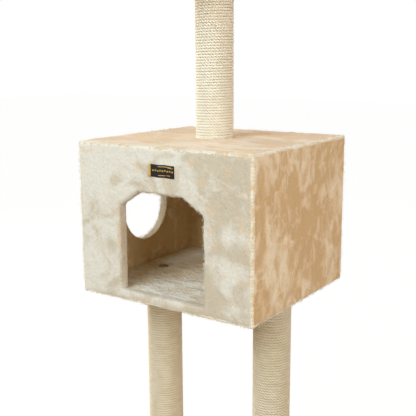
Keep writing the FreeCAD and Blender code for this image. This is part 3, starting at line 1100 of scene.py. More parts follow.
class Sheet:
    """A flat plush sheet under construction, lying in its own XY plane with the pile up."""

    def __init__(self, name: str, width: float, height: float, cell: float) -> None:
        """Adds the plain grid.

        Args:
            name: The piece's name.
            width: Its size along X.
            height: Its size along Y.
            cell: About how large the grid's squares are.
        """
        deselect()
        columns, rows = (2 * max(1, round(size / cell / 2)) for size in (width, height))
        bpy.ops.mesh.primitive_grid_add(x_subdivisions=columns, y_subdivisions=rows, size=1)
        self.obj = bpy.context.object
        self.obj.name = self.obj.data.name = name
        self.obj.scale = (width, height, 1)
        apply_place(self.obj)
        self.step = (width / columns, height / rows)

    def cut(self, hole: Hole) -> None:
        """Cuts a hole: deletes the grid in it and bends the rest to its edge.

        Args:
            hole: The hole.
        """
        points = positions(self.obj)
        faces = [list(face.vertices) for face in self.obj.data.polygons]
        inside = hole.is_inside(points[np.array(faces)].mean(1), self.step)
        move_to(self.obj, hole.bend(points, self.step))
        with editing(self.obj, selected=False):
            bpy.ops.mesh.select_mode(type="FACE")
        self.obj.data.polygons.foreach_set("select", inside)
        bpy.ops.object.mode_set(mode="EDIT")
        bpy.ops.mesh.delete(type="FACE")
        bpy.ops.object.mode_set(mode="OBJECT")

    def pick_border(self, chosen: Callable[[Vector], bool]) -> None:
        """Enters edit mode and selects some of the open edges.

        Args:
            chosen: Says of an end of an edge, in the sheet's own axes, whether it belongs.
        """
        activate(self.obj)
        bpy.ops.object.mode_set(mode="EDIT")
        bpy.ops.mesh.select_mode(type="EDGE")
        bpy.ops.mesh.select_all(action="DESELECT")
        mesh = bmesh.from_edit_mesh(self.obj.data)
        for edge in mesh.edges:
            if edge.is_boundary and all(chosen(vertex.co) for vertex in edge.verts):
                edge.select_set(True)
        bmesh.update_edit_mesh(self.obj.data)

    def extend(
        self,
        steps: Iterable[Pair],
        middle: Pair,
        half: Sequence[float],
    ) -> Pair:
        """Extrudes the picked border in steps.

        Args:
            steps: How far each step goes outwards and down.
            middle: The middle of the border, in the plane.
            half: Half the border's width and height.

        Returns:
            Half the new border's width and height.
        """
        wide, high = half
        for outwards, down in steps:
            bpy.ops.mesh.extrude_region_move(TRANSFORM_OT_translate={"value": (0, 0, -down)})
            stretch = ((wide + outwards) / wide, (high + outwards) / high, 1)
            bpy.ops.transform.resize(value=stretch, center_override=(*middle, 0))
            wide, high = wide + outwards, high + outwards
        return wide, high

    def done(self) -> None:
        """Leaves edit mode."""
        bpy.ops.object.mode_set(mode="OBJECT")

    def mark_pile(self, rise: Sequence[float] = (0.0, 0.45, 0.85)) -> None:
        """Makes the pile group: full inside, and less in the rows of points next to an open edge.

        Args:
            rise: The share of the pile in each row, from the edge inwards.
        """
        mesh = bmesh.new()
        mesh.from_mesh(self.obj.data)
        weights = np.ones(len(mesh.verts))
        rows = {vertex for vertex in mesh.verts if vertex.is_boundary}
        seen: set[bmesh.types.BMVert] = set()
        for share in rise:
            for vertex in rows:
                weights[vertex.index] = share
            seen |= rows
            rows = {edge.other_vert(v) for v in rows for edge in v.link_edges} - seen
        mesh.free()
        group = self.obj.vertex_groups.new(name=PILE_GROUP)
        for weight in np.unique(weights):
            members = np.flatnonzero(weights == weight)
            group.add([int(index) for index in members], float(weight), "REPLACE")

    def close(self) -> None:
        """Fills what is still open and turns every face outwards."""
        self.pick_border(lambda point: True)
        bpy.ops.mesh.fill(use_beauty=False)
        bpy.ops.mesh.select_all(action="SELECT")
        bpy.ops.mesh.normals_make_consistent(inside=False)
        self.done()

    def press(self, place: Pair, radius: float, depth: float, slope: float) -> None:
        """Presses a round patch of the pile down.

        Args:
            place: Its middle, in the sheet's plane.
            radius: How far the full depth reaches.
            depth: How deep.
            slope: How wide its sloping border is.
        """
        points = positions(self.obj)
        far = np.hypot(points[:, 0] - place[0], points[:, 1] - place[1])
        share = 1 - smoothstep((far - radius) / slope)
        near_top = points[:, 2] > -depth
        goal = np.minimum(points[:, 2], -depth)
        points[:, 2] = np.where(near_top, points[:, 2] * (1 - share) + goal * share, points[:, 2])
        move_to(self.obj, points)

    def lay(self, facing: Facing, place: Vector) -> Piece:
        """Lays the finished sheet in the frame and returns its object.

        Args:
            facing: Which way its pile points.
            place: Where its middle goes.

        Returns:
            The sheet's object.
        """
        self.obj.matrix_world = facing.matrix(place)
        apply_place(self.obj)
        return self.obj


def subdivide(obj: Piece, levels: int) -> None:
    """Smooths a mesh by Subdivision Surface, keeping the corners of its open border."""
    settings = {"levels": levels, "render_levels": levels, "boundary_smooth": "PRESERVE_CORNERS"}
    apply_modifier(obj, "SUBSURF", **settings)


def round_corners(obj: Piece, half: Sequence[float], radius: float) -> None:
    """Bends a rectangular grid so that its corners become quarter circles.

    Args:
        obj: The grid, round the origin.
        half: Half its width and height.
        radius: The corners' radius.
    """
    points = positions(obj)
    inner = np.array(half) - radius
    local = np.clip((np.abs(points[:, :2]) - inner) / radius, 0, None)
    disc = local * np.sqrt(1 - np.clip(local[:, ::-1], 0, 1) ** 2 / 2)
    corner = (local > 0).all(1)[:, None]
    bent = np.where(corner, inner + disc * radius, np.abs(points[:, :2]))
    points[:, :2] = np.sign(points[:, :2]) * bent
    move_to(obj, points)


def scatter(name: str, template: Piece, places: Sequence[Matrix] | np.ndarray) -> Piece:
    """Copies a small shape to many places, as one mesh, and removes the template.

    Args:
        name: The new piece's name.
        template: The shape that is copied.
        places: A 4 by 4 matrix for each copy.

    Returns:
        The new object.
    """
    base = positions(template)
    faces = [list(face.vertices) for face in template.data.polygons]
    stack = np.array([np.array(place) for place in places])
    moved = np.einsum("nij,vj->nvi", stack[:, :3, :3], base) + stack[:, None, :3, 3]
    count = len(base)
    every = [[index + count * copy for index in face] for copy in range(len(stack)) for face in faces]
    mesh = bpy.data.meshes.new(name)
    mesh.from_pydata(moved.reshape(-1, 3).tolist(), [], every)
    made = bpy.data.objects.new(name, mesh)
    bpy.context.scene.collection.objects.link(made)
    bpy.data.objects.remove(template)
    return made


def join(name: str, parts: Sequence[Piece]) -> Piece:
    """Joins several objects into one.

    Args:
        name: The new piece's name.
        parts: The objects.

    Returns:
        The joined object.
    """
    deselect()
    for part in parts:
        part.select_set(True)
    bpy.context.view_layer.objects.active = parts[0]
    bpy.ops.object.join()
    joined = bpy.context.object
    joined.name = joined.data.name = name
    return joined


# ---------------------------------------------------------------- the posts


@dataclass
class Post:
    """One post: a coil of sisal rope round the cardboard tube, whose plugs and nuts come from CAD."""

    prefix: str
    palette: Palette
    rope: float = 6.0 * MM
    pitch: float = 5.8 * MM
    steps: int = 64
    sides: int = 9
    level_turns: int = 1

    def build(self) -> Piece:
        """Winds the rope from the post's bottom to its top, with level turns at both ends.

        Returns:
            The rope.
        """
        node = f"{self.prefix}_post_sisal_rope"
        box = Box.of(node)
        reach = box.size.x / 2 - self.rope / 2
        climb = box.size.z - self.rope
        turns = max(1, round(climb / self.pitch)) + 2 * self.level_turns
        rope = self.wind(node.replace("sisal_rope", "sisal"), reach, climb, turns)
        rope.location = Vector((box.middle.x, box.middle.y, box.low.z + self.rope / 2))
        apply_place(rope)
        # The upper post takes the paler copy of the sisal, painted light.
        finish = "sisal_upper" if self.prefix == "upper" else "sisal"
        return dress(rope, self.palette[finish], "sisal_rope", node)

    def wind(self, name: str, reach: float, climb: float, turns: int) -> Piece:
        """Makes the coil at the origin, by a screw of the rope's own round section.

        Args:
            name: The piece's name.
            reach: From the post's axis to the rope's.
            climb: How far the rope's axis rises.
            turns: How many turns it takes.

        Returns:
            The coil.
        """
        deselect()
        bpy.ops.mesh.primitive_circle_add(
            vertices=self.sides,
            radius=self.rope / 2,
            location=(reach, 0, 0),
            rotation=(math.pi / 2, 0, 0),
        )
        coil = bpy.context.object
        coil.name = coil.data.name = name
        apply_place(coil)
        apply_modifier(
            coil,
            "SCREW",
            axis="Z",
            steps=self.steps,
            render_steps=self.steps,
            screw_offset=climb / turns,
            iterations=turns,
            use_smooth_shade=True,
            use_merge_vertices=False,
        )
        turn = self.map_rope(coil, reach, climb, turns)
        points = positions(coil)
        rising = (turn - self.level_turns) / (turns - 2 * self.level_turns)
        points[:, 2] += climb * (np.clip(rising, 0, 1) - turn / turns)
        move_to(coil, points)
        with editing(coil, selected=False):
            bpy.ops.mesh.select_mode(type="EDGE")
            bpy.ops.mesh.select_non_manifold(extend=False, use_wire=False, use_multi_face=False)
            bpy.ops.mesh.edge_face_add()
            bpy.ops.mesh.select_all(action="SELECT")
            bpy.ops.mesh.normals_make_consistent(inside=False)
        return coil

    def map_rope(self, coil: Piece, reach: float, climb: float, turns: int) -> np.ndarray:
        """Gives the coil its UV map, in metres along the rope and in parts of a turn round it.

        Args:
            coil: The coil, evenly wound.
            reach: From the post's axis to the rope's.
            climb: How far the rope's axis rises.
            turns: How many turns it takes.

        Returns:
            How many turns each vertex is from the rope's start.
        """
        points = positions(coil)
        radial = np.hypot(points[:, 0], points[:, 1]) - reach
        turn = np.arange(len(points)) // self.sides / self.steps
        lift = points[:, 2] - turn * climb / turns
        along = turn * 2 * math.pi * reach
        around = np.arctan2(lift, radial) / (2 * math.pi) + 0.5
        layer = coil.data.uv_layers.new(name="rope")
        corners = np.empty(len(coil.data.loops), dtype=np.int64)
        coil.data.loops.foreach_get("vertex_index", corners)
        pairs = np.stack([along[corners], around[corners]], 1)
        starts = np.array([face.loop_start for face in coil.data.polygons])
        totals = np.array([face.loop_total for face in coil.data.polygons])
        quads = starts[totals == 4][:, None] + np.arange(4)
        block = pairs[quads]
        wraps = np.ptp(block[:, :, 1], axis=1) > 0.5
        low = block[:, :, 1] < 0.5
        block[:, :, 1] += np.where(wraps[:, None] & low, 1.0, 0.0)
        pairs[quads] = block
        layer.data.foreach_set("uv", pairs.astype(np.float32).ravel())
        return turn


# ---------------------------------------------------------------- the house


@dataclass(frozen=True)
class Panel:
    """One sheet of plush on or in the house, the way that it faces, and the board that it covers."""

    name: str
    facing: Facing
    finish: str
    board: str

    def declare(self, size: Pair, turned_in: float, hole: Optional[Hole]) -> None:
        """Works out the area that the sheet was cut to, and keeps nothing of it.

        Args:
            size: Its width and height before it was cut.
            turned_in: How far the sheet goes into its opening.
            hole: The opening, or nothing.
        """
        area = size[0] * size[1]
        if hole:
            area -= hole.area - hole.girth * turned_in


@dataclass
class House:
    """The house: the plush on the outside of its boards, and the lining on their inside."""

    palette: Palette
    edge: float = 11 * MM
    pile: float = 4 * MM
    lining: float = 3 * MM
    board: float = 15 * MM
    wrap_roll: float = 6 * MM
    cell: float = 7.6 * MM
    lining_cell: float = 9 * MM
    door_half_width: float = 105 * MM
    door_half_flat: float = 55.5 * MM
    door_sill: float = 23 * MM
    door_shoulder: float = 204 * MM
    door_head: float = 235 * MM
    window_radius: float = 77 * MM
    window_height: float = 158 * MM
    post_x: float = 146 * MM
    post_radius: float = 38 * MM
    pressed: float = 1 * MM
    post_slope: float = 2.5 * MM
    washer_radius: float = 12.5 * MM
    floor_slope: float = 11 * MM
    ceiling_slope: float = 9 * MM
    flat_back: float = 0.4 * MM
    outer: Box = field(init=False)

    covers = (
        Panel("house_front_plush", Facing.FRONT, "front", "house_front_board"),
        Panel("house_back_plush", Facing.BACK, "back", "house_back_board"),
        Panel("house_left_plush", Facing.LEFT, "left", "house_left_board"),
        Panel("house_right_plush", Facing.RIGHT, "right", "house_right_board"),
        Panel("house_top_plush", Facing.TOP, "top", "house_roof_board"),
        Panel("house_underside_plush", Facing.UNDER, "under", "house_floor_board"),
    )
    linings = (
        Panel("house_floor_lining", Facing.TOP, "floor", "house_floor_board"),
        Panel("house_ceiling_lining", Facing.UNDER, "lining", "house_roof_board"),
        Panel("house_front_lining", Facing.BACK, "lining", "house_front_board"),
        Panel("house_back_lining", Facing.FRONT, "lining", "house_back_board"),
        Panel("house_left_lining", Facing.RIGHT, "lining", "house_left_board"),
        Panel("house_right_lining", Facing.LEFT, "lining", "house_right_board"),
    )

    def __post_init__(self) -> None:
        """Reads the house's outer box from the frame."""
        self.outer = Box.of(*(panel.name for panel in self.covers))

    def build(self) -> None:
        """Builds every sheet."""
        for panel in self.covers:
            self.cover(panel)
        for panel in self.linings:
            self.line(panel)

    def extent(self, box: Box, facing: Facing) -> tuple[float, float, Vector]:
        """Measures a box from the way that a panel faces.

        Args:
            box: The box.
            facing: The way that the panel faces.

        Returns:
            The box's width, its height and the middle of its outer face.
        """
        across, upwards = (Vector(axis) for axis in facing.value)
        width = abs(box.size.dot(across))
        height = abs(box.size.dot(upwards))
        outwards = across.cross(upwards)
        face = box.middle + outwards * abs(box.size.dot(outwards)) / 2
        return width, height, face

    def cover(self, panel: Panel) -> Piece:
        """Makes one outer panel, rolled over the house's edges and through its opening.

        Args:
            panel: The panel.

        Returns:
            The finished piece.
        """
        width, height, face = self.extent(self.outer, panel.facing)
        flat = (width - 2 * self.edge, height - 2 * self.edge)
        sheet = Sheet(panel.name + "_fur", *flat, self.cell)
        hole = self.opening(panel.name, flat, self.wrap_roll)
        if hole:
            sheet.cut(hole)
            sheet.pick_border(lambda p: self.by_hole(p, hole))
            inwards = [(-out, down) for out, down in roll(self.wrap_roll, 90, 3)]
            deep = self.pile + self.board - self.wrap_roll
            hole_edge = sheet.extend(inwards + [(0, deep / 2)] * 2, hole.middle, hole.half)
            sheet.done()
        sheet.pick_border(lambda p: abs(p.x) > flat[0] / 2 - MM or abs(p.y) > flat[1] / 2 - MM)
        half = sheet.extend(roll(self.edge, 45, 2), (0, 0), (flat[0] / 2, flat[1] / 2))
        sheet.done()
        sheet.mark_pile()
        subdivide(sheet.obj, 2)
        raise_pile(sheet.obj)
        self.press_posts(panel, sheet)
        if hole:
            sheet.pick_border(lambda p: p.z < -self.pile - self.board + MM)
            sheet.extend([(self.pile, 0), (0, -self.board)], hole.middle, hole_edge)
            sheet.done()
        drop = self.edge * (1 - math.cos(math.pi / 4))
        sheet.pick_border(lambda p: abs(p.x) > half[0] - MM or abs(p.y) > half[1] - MM)
        sheet.extend([(drop - self.pile, self.pile - drop)], (0, 0), half)
        sheet.done()
        sheet.close()
        obj = self.fit(panel, sheet, face)
        panel.declare((width, height), self.pile + self.board, hole)
        return obj

    def fit(self, panel: Panel, sheet: Sheet, face: Vector) -> Piece:
        """Lays a closed sheet against its board and gives it its plush.

        Args:
            panel: The panel.
            sheet: Its sheet.
            face: The middle of the panel's outer face.

        Returns:
            The piece in place.
        """
        obj = sheet.lay(panel.facing, face)
        return dress(obj, self.palette[panel.finish], "cream_plush", panel.name)

    def by_hole(self, point: Vector, hole: Hole) -> bool:
        """Whether a point of an open edge belongs to the hole."""
        across = abs(point.x - hole.middle[0]) <= hole.half[0] + MM
        return across and abs(point.y - hole.middle[1]) <= hole.half[1] + MM

    def opening(self, name: str, flat: Pair, more: float) -> Optional[Hole]:
        """The hole in a front or left panel.

        Args:
            name: The panel's name.
            flat: Its width and height before it is rolled over the edges.
            more: How much larger the hole is than the finished one, for the plush's roll.

        Returns:
            The hole, or nothing where the panel has none.
        """
        middle = self.outer.middle.z - self.outer.low.z
        if "front" in name:
            return ArchedDoor(
                half_width=self.door_half_width + more,
                half_flat=self.door_half_flat + more / 2,
                sill=self.door_sill - middle - more,
                shoulder=self.door_shoulder - middle + more / 2,
                head=self.door_head - middle + more,
                half_panel=(flat[0] / 2, flat[1] / 2),
            )
        if "left" in name:
            return RoundWindow(self.window_radius + more, (0.0, self.window_height - middle))
        return None

    def press_posts(self, panel: Panel, sheet: Sheet) -> None:
        """Presses the pile down where the posts stand against an outer panel.

        Args:
            panel: The panel.
            sheet: Its sheet.
        """
        seats = {Facing.TOP: (0.0,), Facing.UNDER: (-self.post_x, self.post_x)}
        for x in seats.get(panel.facing, ()):
            sheet.press((x, 0), self.post_radius, self.pile - self.pressed, self.post_slope)

    def line(self, panel: Panel) -> Piece:
        """Makes one sheet of the lining, from the CAD node's own box.

        Args:
            panel: The panel.

        Returns:
            The finished piece.
        """
        width, height, face = self.extent(Box.of(panel.name), panel.facing)
        thick = self.pile if "floor" in panel.name else self.lining
        sheet = Sheet(panel.name + "_fur", width, height, self.lining_cell)
        hole = self.lining_hole(panel.name, (width, height), self.outer.middle.z - face.z)
        if hole:
            sheet.cut(hole)
        sheet.mark_pile((0.15, 0.6, 0.9))
        subdivide(sheet.obj, 2)
        raise_pile(sheet.obj)
        if "floor" in panel.name:
            for x in (-self.post_x, self.post_x):
                sheet.press((x, 0), self.washer_radius, thick - self.pressed, self.floor_slope)
        if "ceiling" in panel.name:
            sheet.press((0, 0), self.washer_radius, thick - self.pressed, self.ceiling_slope)
        sheet.pick_border(lambda p: True)
        sheet.extend([(0, thick)], (0, 0), (width / 2, height / 2))
        sheet.done()
        points = positions(sheet.obj)
        points[points[:, 2] < self.flat_back - thick, 2] = -thick
        move_to(sheet.obj, points)
        sheet.close()
        obj = self.fit(panel, sheet, face)
        panel.declare((width, height), 0.0, hole)
        return obj

    def lining_hole(self, name: str, size: Pair, shift: float) -> Optional[Hole]:
        """The hole in the front or left lining, whose middle isn't level with the house's.

        Args:
            name: The lining's name.
            size: Its width and height.
            shift: How far its middle is under the house's.

        Returns:
            The hole, or nothing where the lining has none.
        """
        hole = self.opening(name, size, 0.0)
        if isinstance(hole, ArchedDoor):
            shoulder, head = hole.shoulder + shift, hole.head + shift
            return replace(hole, sill=-size[1] / 2, shoulder=shoulder, head=head)
        if isinstance(hole, RoundWindow):
            return replace(hole, middle=(0.0, hole.middle[1] + shift))
        return None


# ---------------------------------------------------------------- seams and tufts


@dataclass(frozen=True)
class TuftPath:
    """A line that tufts of pile grow from, and how they stand on it.

    Directions are for the whole line, or one for each of its points.
    """

    points: np.ndarray
    directions: np.ndarray
    count: int
    spread: float = 0.5
    length: Pair = (0.5, 0.95)
    scatter: float = 1.8 * MM

    def grow(self, rng: np.random.Generator) -> np.ndarray:
        """Places the tufts.

        Args:
            rng: The seeded source of chance.

        Returns:
            One 4 by 4 matrix for each tuft.
        """
        step = np.linalg.norm(np.diff(self.points, axis=0), axis=1)
        length = np.concatenate([[0], np.cumsum(step)])
        where = np.sort(rng.random(self.count)) * length[-1]
        place = np.stack([np.interp(where, length, axis) for axis in self.points.T], 1)
        lean = np.broadcast_to(self.directions, self.points.shape)
        lean = np.stack([np.interp(where, length, axis) for axis in lean.T], 1)
        lean = lean + rng.normal(0, self.spread, lean.shape)
        lean /= np.linalg.norm(lean, axis=1, keepdims=True)
        side = np.cross(lean, rng.normal(0, 1, lean.shape))
        side /= np.linalg.norm(side, axis=1, keepdims=True)
        made = np.zeros((self.count, 4, 4))
        tall = rng.uniform(*self.length, self.count)[:, None]
        broad = rng.uniform(0.7, 1.3, self.count)[:, None]
        made[:, :3, 0] = side * broad
        made[:, :3, 1] = np.cross(lean, side) * broad
        made[:, :3, 2] = lean * tall
        made[:, :3, 3] = place + rng.normal(0, self.scatter, place.shape)
        made[:, 3, 3] = 1
        return made


@dataclass
class Trim:
    """The house's soft edges: rolled seams, whip stitches, and tufts that stand proud."""

    palette: Palette
    house: House
    radius: float = 5.4 * MM
    inset: float = 6.6 * MM
    voxel: float = 2.2 * MM
    overrun: float = 1.2
    lumps: tuple[NapLayer, ...] = (
        NapLayer(0.030, 0.0014),
        NapLayer(0.009, 0.0012),
        NapLayer(0.0040, 0.0010),
    )
    stitch: float = 6.5 * MM
    thread: float = 0.6 * MM
    stitch_proud: float = 0.5 * MM
    stitch_jitter: float = 0.06
    slant: float = 20.0
    slant_jitter: float = 4.0
    tuft_width: float = 0.8 * MM
    tuft_length: float = 2.6 * MM
    tuft_sink: float = 1.0 * MM
    per_metre: int = 800
    post_tufts: int = 380
    post_gap: float = 4.5 * MM
    post_sink: float = 1.5 * MM
    seed: int = 20

    def build(self) -> None:
        """Makes the rolls, the stitches and the tufts."""
        rng = np.random.default_rng(self.seed)
        self.rolls()
        self.stitches(rng)
        paths = self.edge_paths() + self.opening_paths() + self.post_paths()
        tufts = np.concatenate([path.grow(rng) for path in paths])
        dress(scatter("house_tufts", self.tuft(), tufts), self.palette["trim"], "cream_plush")

    def edges(self) -> list[tuple[np.ndarray, np.ndarray, np.ndarray]]:
        """Finds the house's twelve edges.

        Returns:
            The start, the end and the outward direction of each, inset to the roll's axis.
        """
        low, high = np.array(self.house.outer.low), np.array(self.house.outer.high)
        middle, half = (low + high) / 2, (high - low) / 2 - self.inset
        made = []
        for axis in range(3):
            others = [other for other in range(3) if other != axis]
            for signs in ((-1, -1), (-1, 1), (1, -1), (1, 1)):
                outwards = np.zeros(3)
                outwards[others] = signs
                along = np.eye(3)[axis] * half[axis]
                centre = middle + outwards * half
                made.append((centre - along, centre + along, outwards / math.sqrt(2)))
        return made

    def rolls(self) -> None:
        """One soft roll along each edge, merged at the corners."""
        rods = []
        for start, end, _ in self.edges():
            run = Vector(end - start)
            deselect()
            bpy.ops.mesh.primitive_cylinder_add(
                vertices=12,
                radius=self.radius,
                depth=run.length + self.overrun * self.radius,
                location=Vector((start + end) / 2),
                rotation=run.to_track_quat("Z", "Y").to_euler(),
            )
            apply_place(bpy.context.object)
            rods.append(bpy.context.object)
        roll_piece = join("house_edge_rolls", rods)
        activate(roll_piece)
        roll_piece.data.remesh_voxel_size = self.voxel
        bpy.ops.object.voxel_remesh()
        group = roll_piece.vertex_groups.new(name=PILE_GROUP)
        group.add(list(range(len(roll_piece.data.vertices))), 1.0, "REPLACE")
        raise_pile(roll_piece, self.lumps)
        dress(roll_piece, self.palette["trim"], "cream_plush")

    def stitches(self, rng: np.random.Generator) -> None:
        """Sews slanted whip stitches round the four upright rolls.

        Args:
            rng: The seeded source of chance.
        """
        deselect()
        bpy.ops.mesh.primitive_torus_add(
            major_segments=10,
            minor_segments=4,
            major_radius=self.radius + self.stitch_proud,
            minor_radius=self.thread,
        )
        template = bpy.context.object
        places = []
        for start, end, outwards in self.edges():
            run = end - start
            if run[2] == 0:
                continue
            count = int(np.linalg.norm(run) / self.stitch)
            for index in range(count):
                share = index + 0.5 + rng.normal(0, self.stitch_jitter)
                place = Vector(start + run * share / count)
                axis = Vector((outwards[1], -outwards[0], 0))
                slant = math.radians(self.slant + rng.normal(0, self.slant_jitter))
                places.append(Matrix.Translation(place) @ Matrix.Rotation(slant, 4, axis))
        stitched = scatter("house_stitches", template, places)
        dress(stitched, self.palette["thread"], "cream_plush")

    def tuft(self) -> Piece:
        """Makes one tuft of pile, closed, bent and swollen, standing on the origin.

        Returns:
            The tuft.
        """
        deselect()
        width, length = self.tuft_width, self.tuft_length
        bpy.ops.mesh.primitive_cone_add(
            vertices=4, radius1=width, radius2=width * 0.1, depth=length, location=(0, 0, length * 0.4)
        )
        tuft = bpy.context.object
        apply_place(tuft)
        with editing(tuft):
            for share in (0.25, 0.6):
                bpy.ops.mesh.select_all(action="SELECT")
                bpy.ops.mesh.bisect(plane_co=(0, 0, length * share), plane_no=(0, 0, 1))
        points = positions(tuft)
        rise = np.clip(points[:, 2], 0, None) / length
        points[:, 0] += 0.45 * length * rise**2
        points[:, :2] *= (1 + 0.7 * np.sin(np.clip(rise, 0, 1) * math.pi))[:, None]
        move_to(tuft, points)
        return tuft

    def edge_paths(self) -> list[TuftPath]:
        """Tufts along the twelve edges.

        Returns:
            The lines that they grow from.
        """
        made = []
        for start, end, outwards in self.edges():
            shift = outwards * (self.radius - self.tuft_sink)
            count = int(np.linalg.norm(end - start) * self.per_metre)
            made.append(TuftPath(np.array([start + shift, end + shift]), outwards, count))
        return made

    def door_line(self, y: float) -> np.ndarray:
        """Draws the door's outline, from the left end of the sill round to the right end.

        Args:
            y: Where it lies, from front to back.

        Returns:
            The outline's points.
        """
        house = self.house
        jamb, flat = house.door_half_width, house.door_half_flat
        sill, shoulder, head = house.door_sill, house.door_shoulder, house.door_head
        left = [(-jamb, sill), (-jamb, shoulder), (-flat, head)]
        right = [(-x, z) for x, z in reversed(left)]
        return np.array([(x, y, house.outer.low.z + z) for x, z in left + right])

    def opening_paths(self) -> list[TuftPath]:
        """Lines tufts up round the door's and the window's edges, outside and in the reveals.

        Returns:
            The lines.
        """
        house = self.house
        front, side = house.outer.low.y, house.outer.low.x
        middle = np.array([0, 0, house.outer.low.z + house.window_height])
        turn = np.linspace(0, 2 * math.pi, 60)
        ring = np.stack([np.zeros_like(turn), np.cos(turn), np.sin(turn)], 1)
        short = {"length": (0.3, 0.65), "scatter": 1.2 * MM}
        made = []
        for depth, lean, count in ((2 * MM, -0.9, 420), (9 * MM, -0.2, 300), (19 * MM, 0.5, 300)):
            line = self.door_line(front + depth)
            inwards = (middle - line) * np.array([1, 0, 1])
            inwards /= np.linalg.norm(inwards, axis=1, keepdims=True)
            made.append(TuftPath(line, inwards * 0.5 + np.array([0, lean, 0]), count, **short))
            circle = ring * house.window_radius + middle + np.array([side + depth, 0, 0])
            made.append(TuftPath(circle, -ring * 0.6 + np.array([lean, 0, 0]), count, **short))
        return made

    def post_paths(self) -> list[TuftPath]:
        """Lines tufts up round the posts, where they press into the pile.

        Returns:
            The lines.
        """
        house = self.house
        turn = np.linspace(0, 2 * math.pi, 40)
        ring = np.stack([np.cos(turn), np.sin(turn), np.zeros_like(turn)], 1)
        wide = ring * (house.post_radius + self.post_gap)
        seats = [(0.0, house.outer.high.z, 1.0)]
        seats += [(x, house.outer.low.z, -1.0) for x in (-house.post_x, house.post_x)]
        made = []
        for x, z, up in seats:
            circle = wide + np.array([x, 0, z - up * self.post_sink])
            lean = ring * 0.2 + np.array([0, 0, up])
            made.append(TuftPath(circle, lean, self.post_tufts, spread=0.45, length=(0.6, 1.0)))
        return made


# ---------------------------------------------------------------- base and perch


@dataclass
class CoveredBoard:
    """A board with plush pulled over its top and edges and under it: the base or the perch.

    The base's plush ends in a pressed hem. The perch's runs on to a small hole over its bolt.
    """

    node: str
    board: str
    palette: Palette
    corner: float
    edge: float = 5 * MM
    pile: float = 4 * MM
    hem: float = 2 * MM
    hem_width: float = 42 * MM
    cell: float = 13 * MM
    seats: tuple[float, ...] = (-146 * MM, 146 * MM)
    post_radius: float = 38 * MM
    post_slope: float = 2.5 * MM
    pressed: float = 1 * MM
    post_under: bool = False

    def build(self) -> Piece:
        """Makes the cover.

        Returns:
            The cover, in place.
        """
        box = Box.of(self.node)
        width, depth, height = box.size
        flat = (width / 2 - self.edge, depth / 2 - self.edge)
        sheet = Sheet(self.node + "_fur", 2 * flat[0], 2 * flat[1], self.cell)
        round_corners(sheet.obj, flat, self.corner - self.edge)
        sheet.pick_border(lambda p: True)
        over = roll(self.edge, 90, 3)
        under = [(-down, out) for out, down in over]
        upright = height - 2 * self.edge
        rings = max(4, round(self.hem_width / self.cell))
        hem = [(-self.hem_width / rings, 0)] * rings
        half = sheet.extend(over + [(0, upright / 2)] * 2 + under + hem, (0, 0), flat)
        sheet.done()
        sheet.mark_pile()
        subdivide(sheet.obj, 2)
        raise_pile(sheet.obj)
        self.press_posts(sheet, height)
        sheet.pick_border(lambda p: True)
        back = width / 2 - self.pile - half[0]
        rise = height - self.hem - self.pile
        sheet.extend([(0, -self.hem), (back, 0), (0, -rise)], (0, 0), half)
        sheet.done()
        sheet.close()
        face = box.middle + Vector((0, 0, height / 2))
        obj = dress(sheet.lay(Facing.TOP, face), self.palette["top"], "cream_plush", self.node)
        turned = 2 * (height + self.hem_width)
        width + turned
        depth + turned
        self.cut_area(width, depth, height)
        return obj

    def cut_area(self, width: float, depth: float, height: float) -> float:
        """Works out the plush's flat area once its corners are cut away: top, edge and hem.

        Args:
            width: The covered board's width.
            depth: Its depth.
            height: Its height.

        Returns:
            The area.
        """

        def rounded(wide: float, deep: float, corner: float) -> float:
            """The area of a rectangle with round corners."""
            return wide * deep - (4 - math.pi) * corner**2

        top = rounded(width, depth, self.corner)
        girth = 2 * (width + depth) - (8 - 2 * math.pi) * self.corner
        inner = (width - 2 * self.hem_width, depth - 2 * self.hem_width)
        hem = top - rounded(*inner, max(0.0, self.corner - self.hem_width))
        return top + girth * height + hem

    def press_posts(self, sheet: Sheet, height: float) -> None:
        """Presses the pile down under the posts, on the top or, for the perch, underneath.

        Args:
            sheet: The cover's sheet.
            height: The covered board's height.
        """
        depth = self.pile - self.pressed
        points = positions(sheet.obj)
        if not self.post_under:
            points[:, 2] = np.maximum(points[:, 2], -height)
            move_to(sheet.obj, points)
            for x in self.seats:
                sheet.press((x, 0), self.post_radius, depth, self.post_slope)
            return
        far = np.hypot(points[:, 0], points[:, 1])
        share = 1 - smoothstep((far - self.post_radius) / self.post_slope)
        goal = np.maximum(points[:, 2], depth - height)
        low = points[:, 2] < -height / 2
        points[:, 2] = np.where(low, points[:, 2] * (1 - share) + goal * share, points[:, 2])
        move_to(sheet.obj, points)


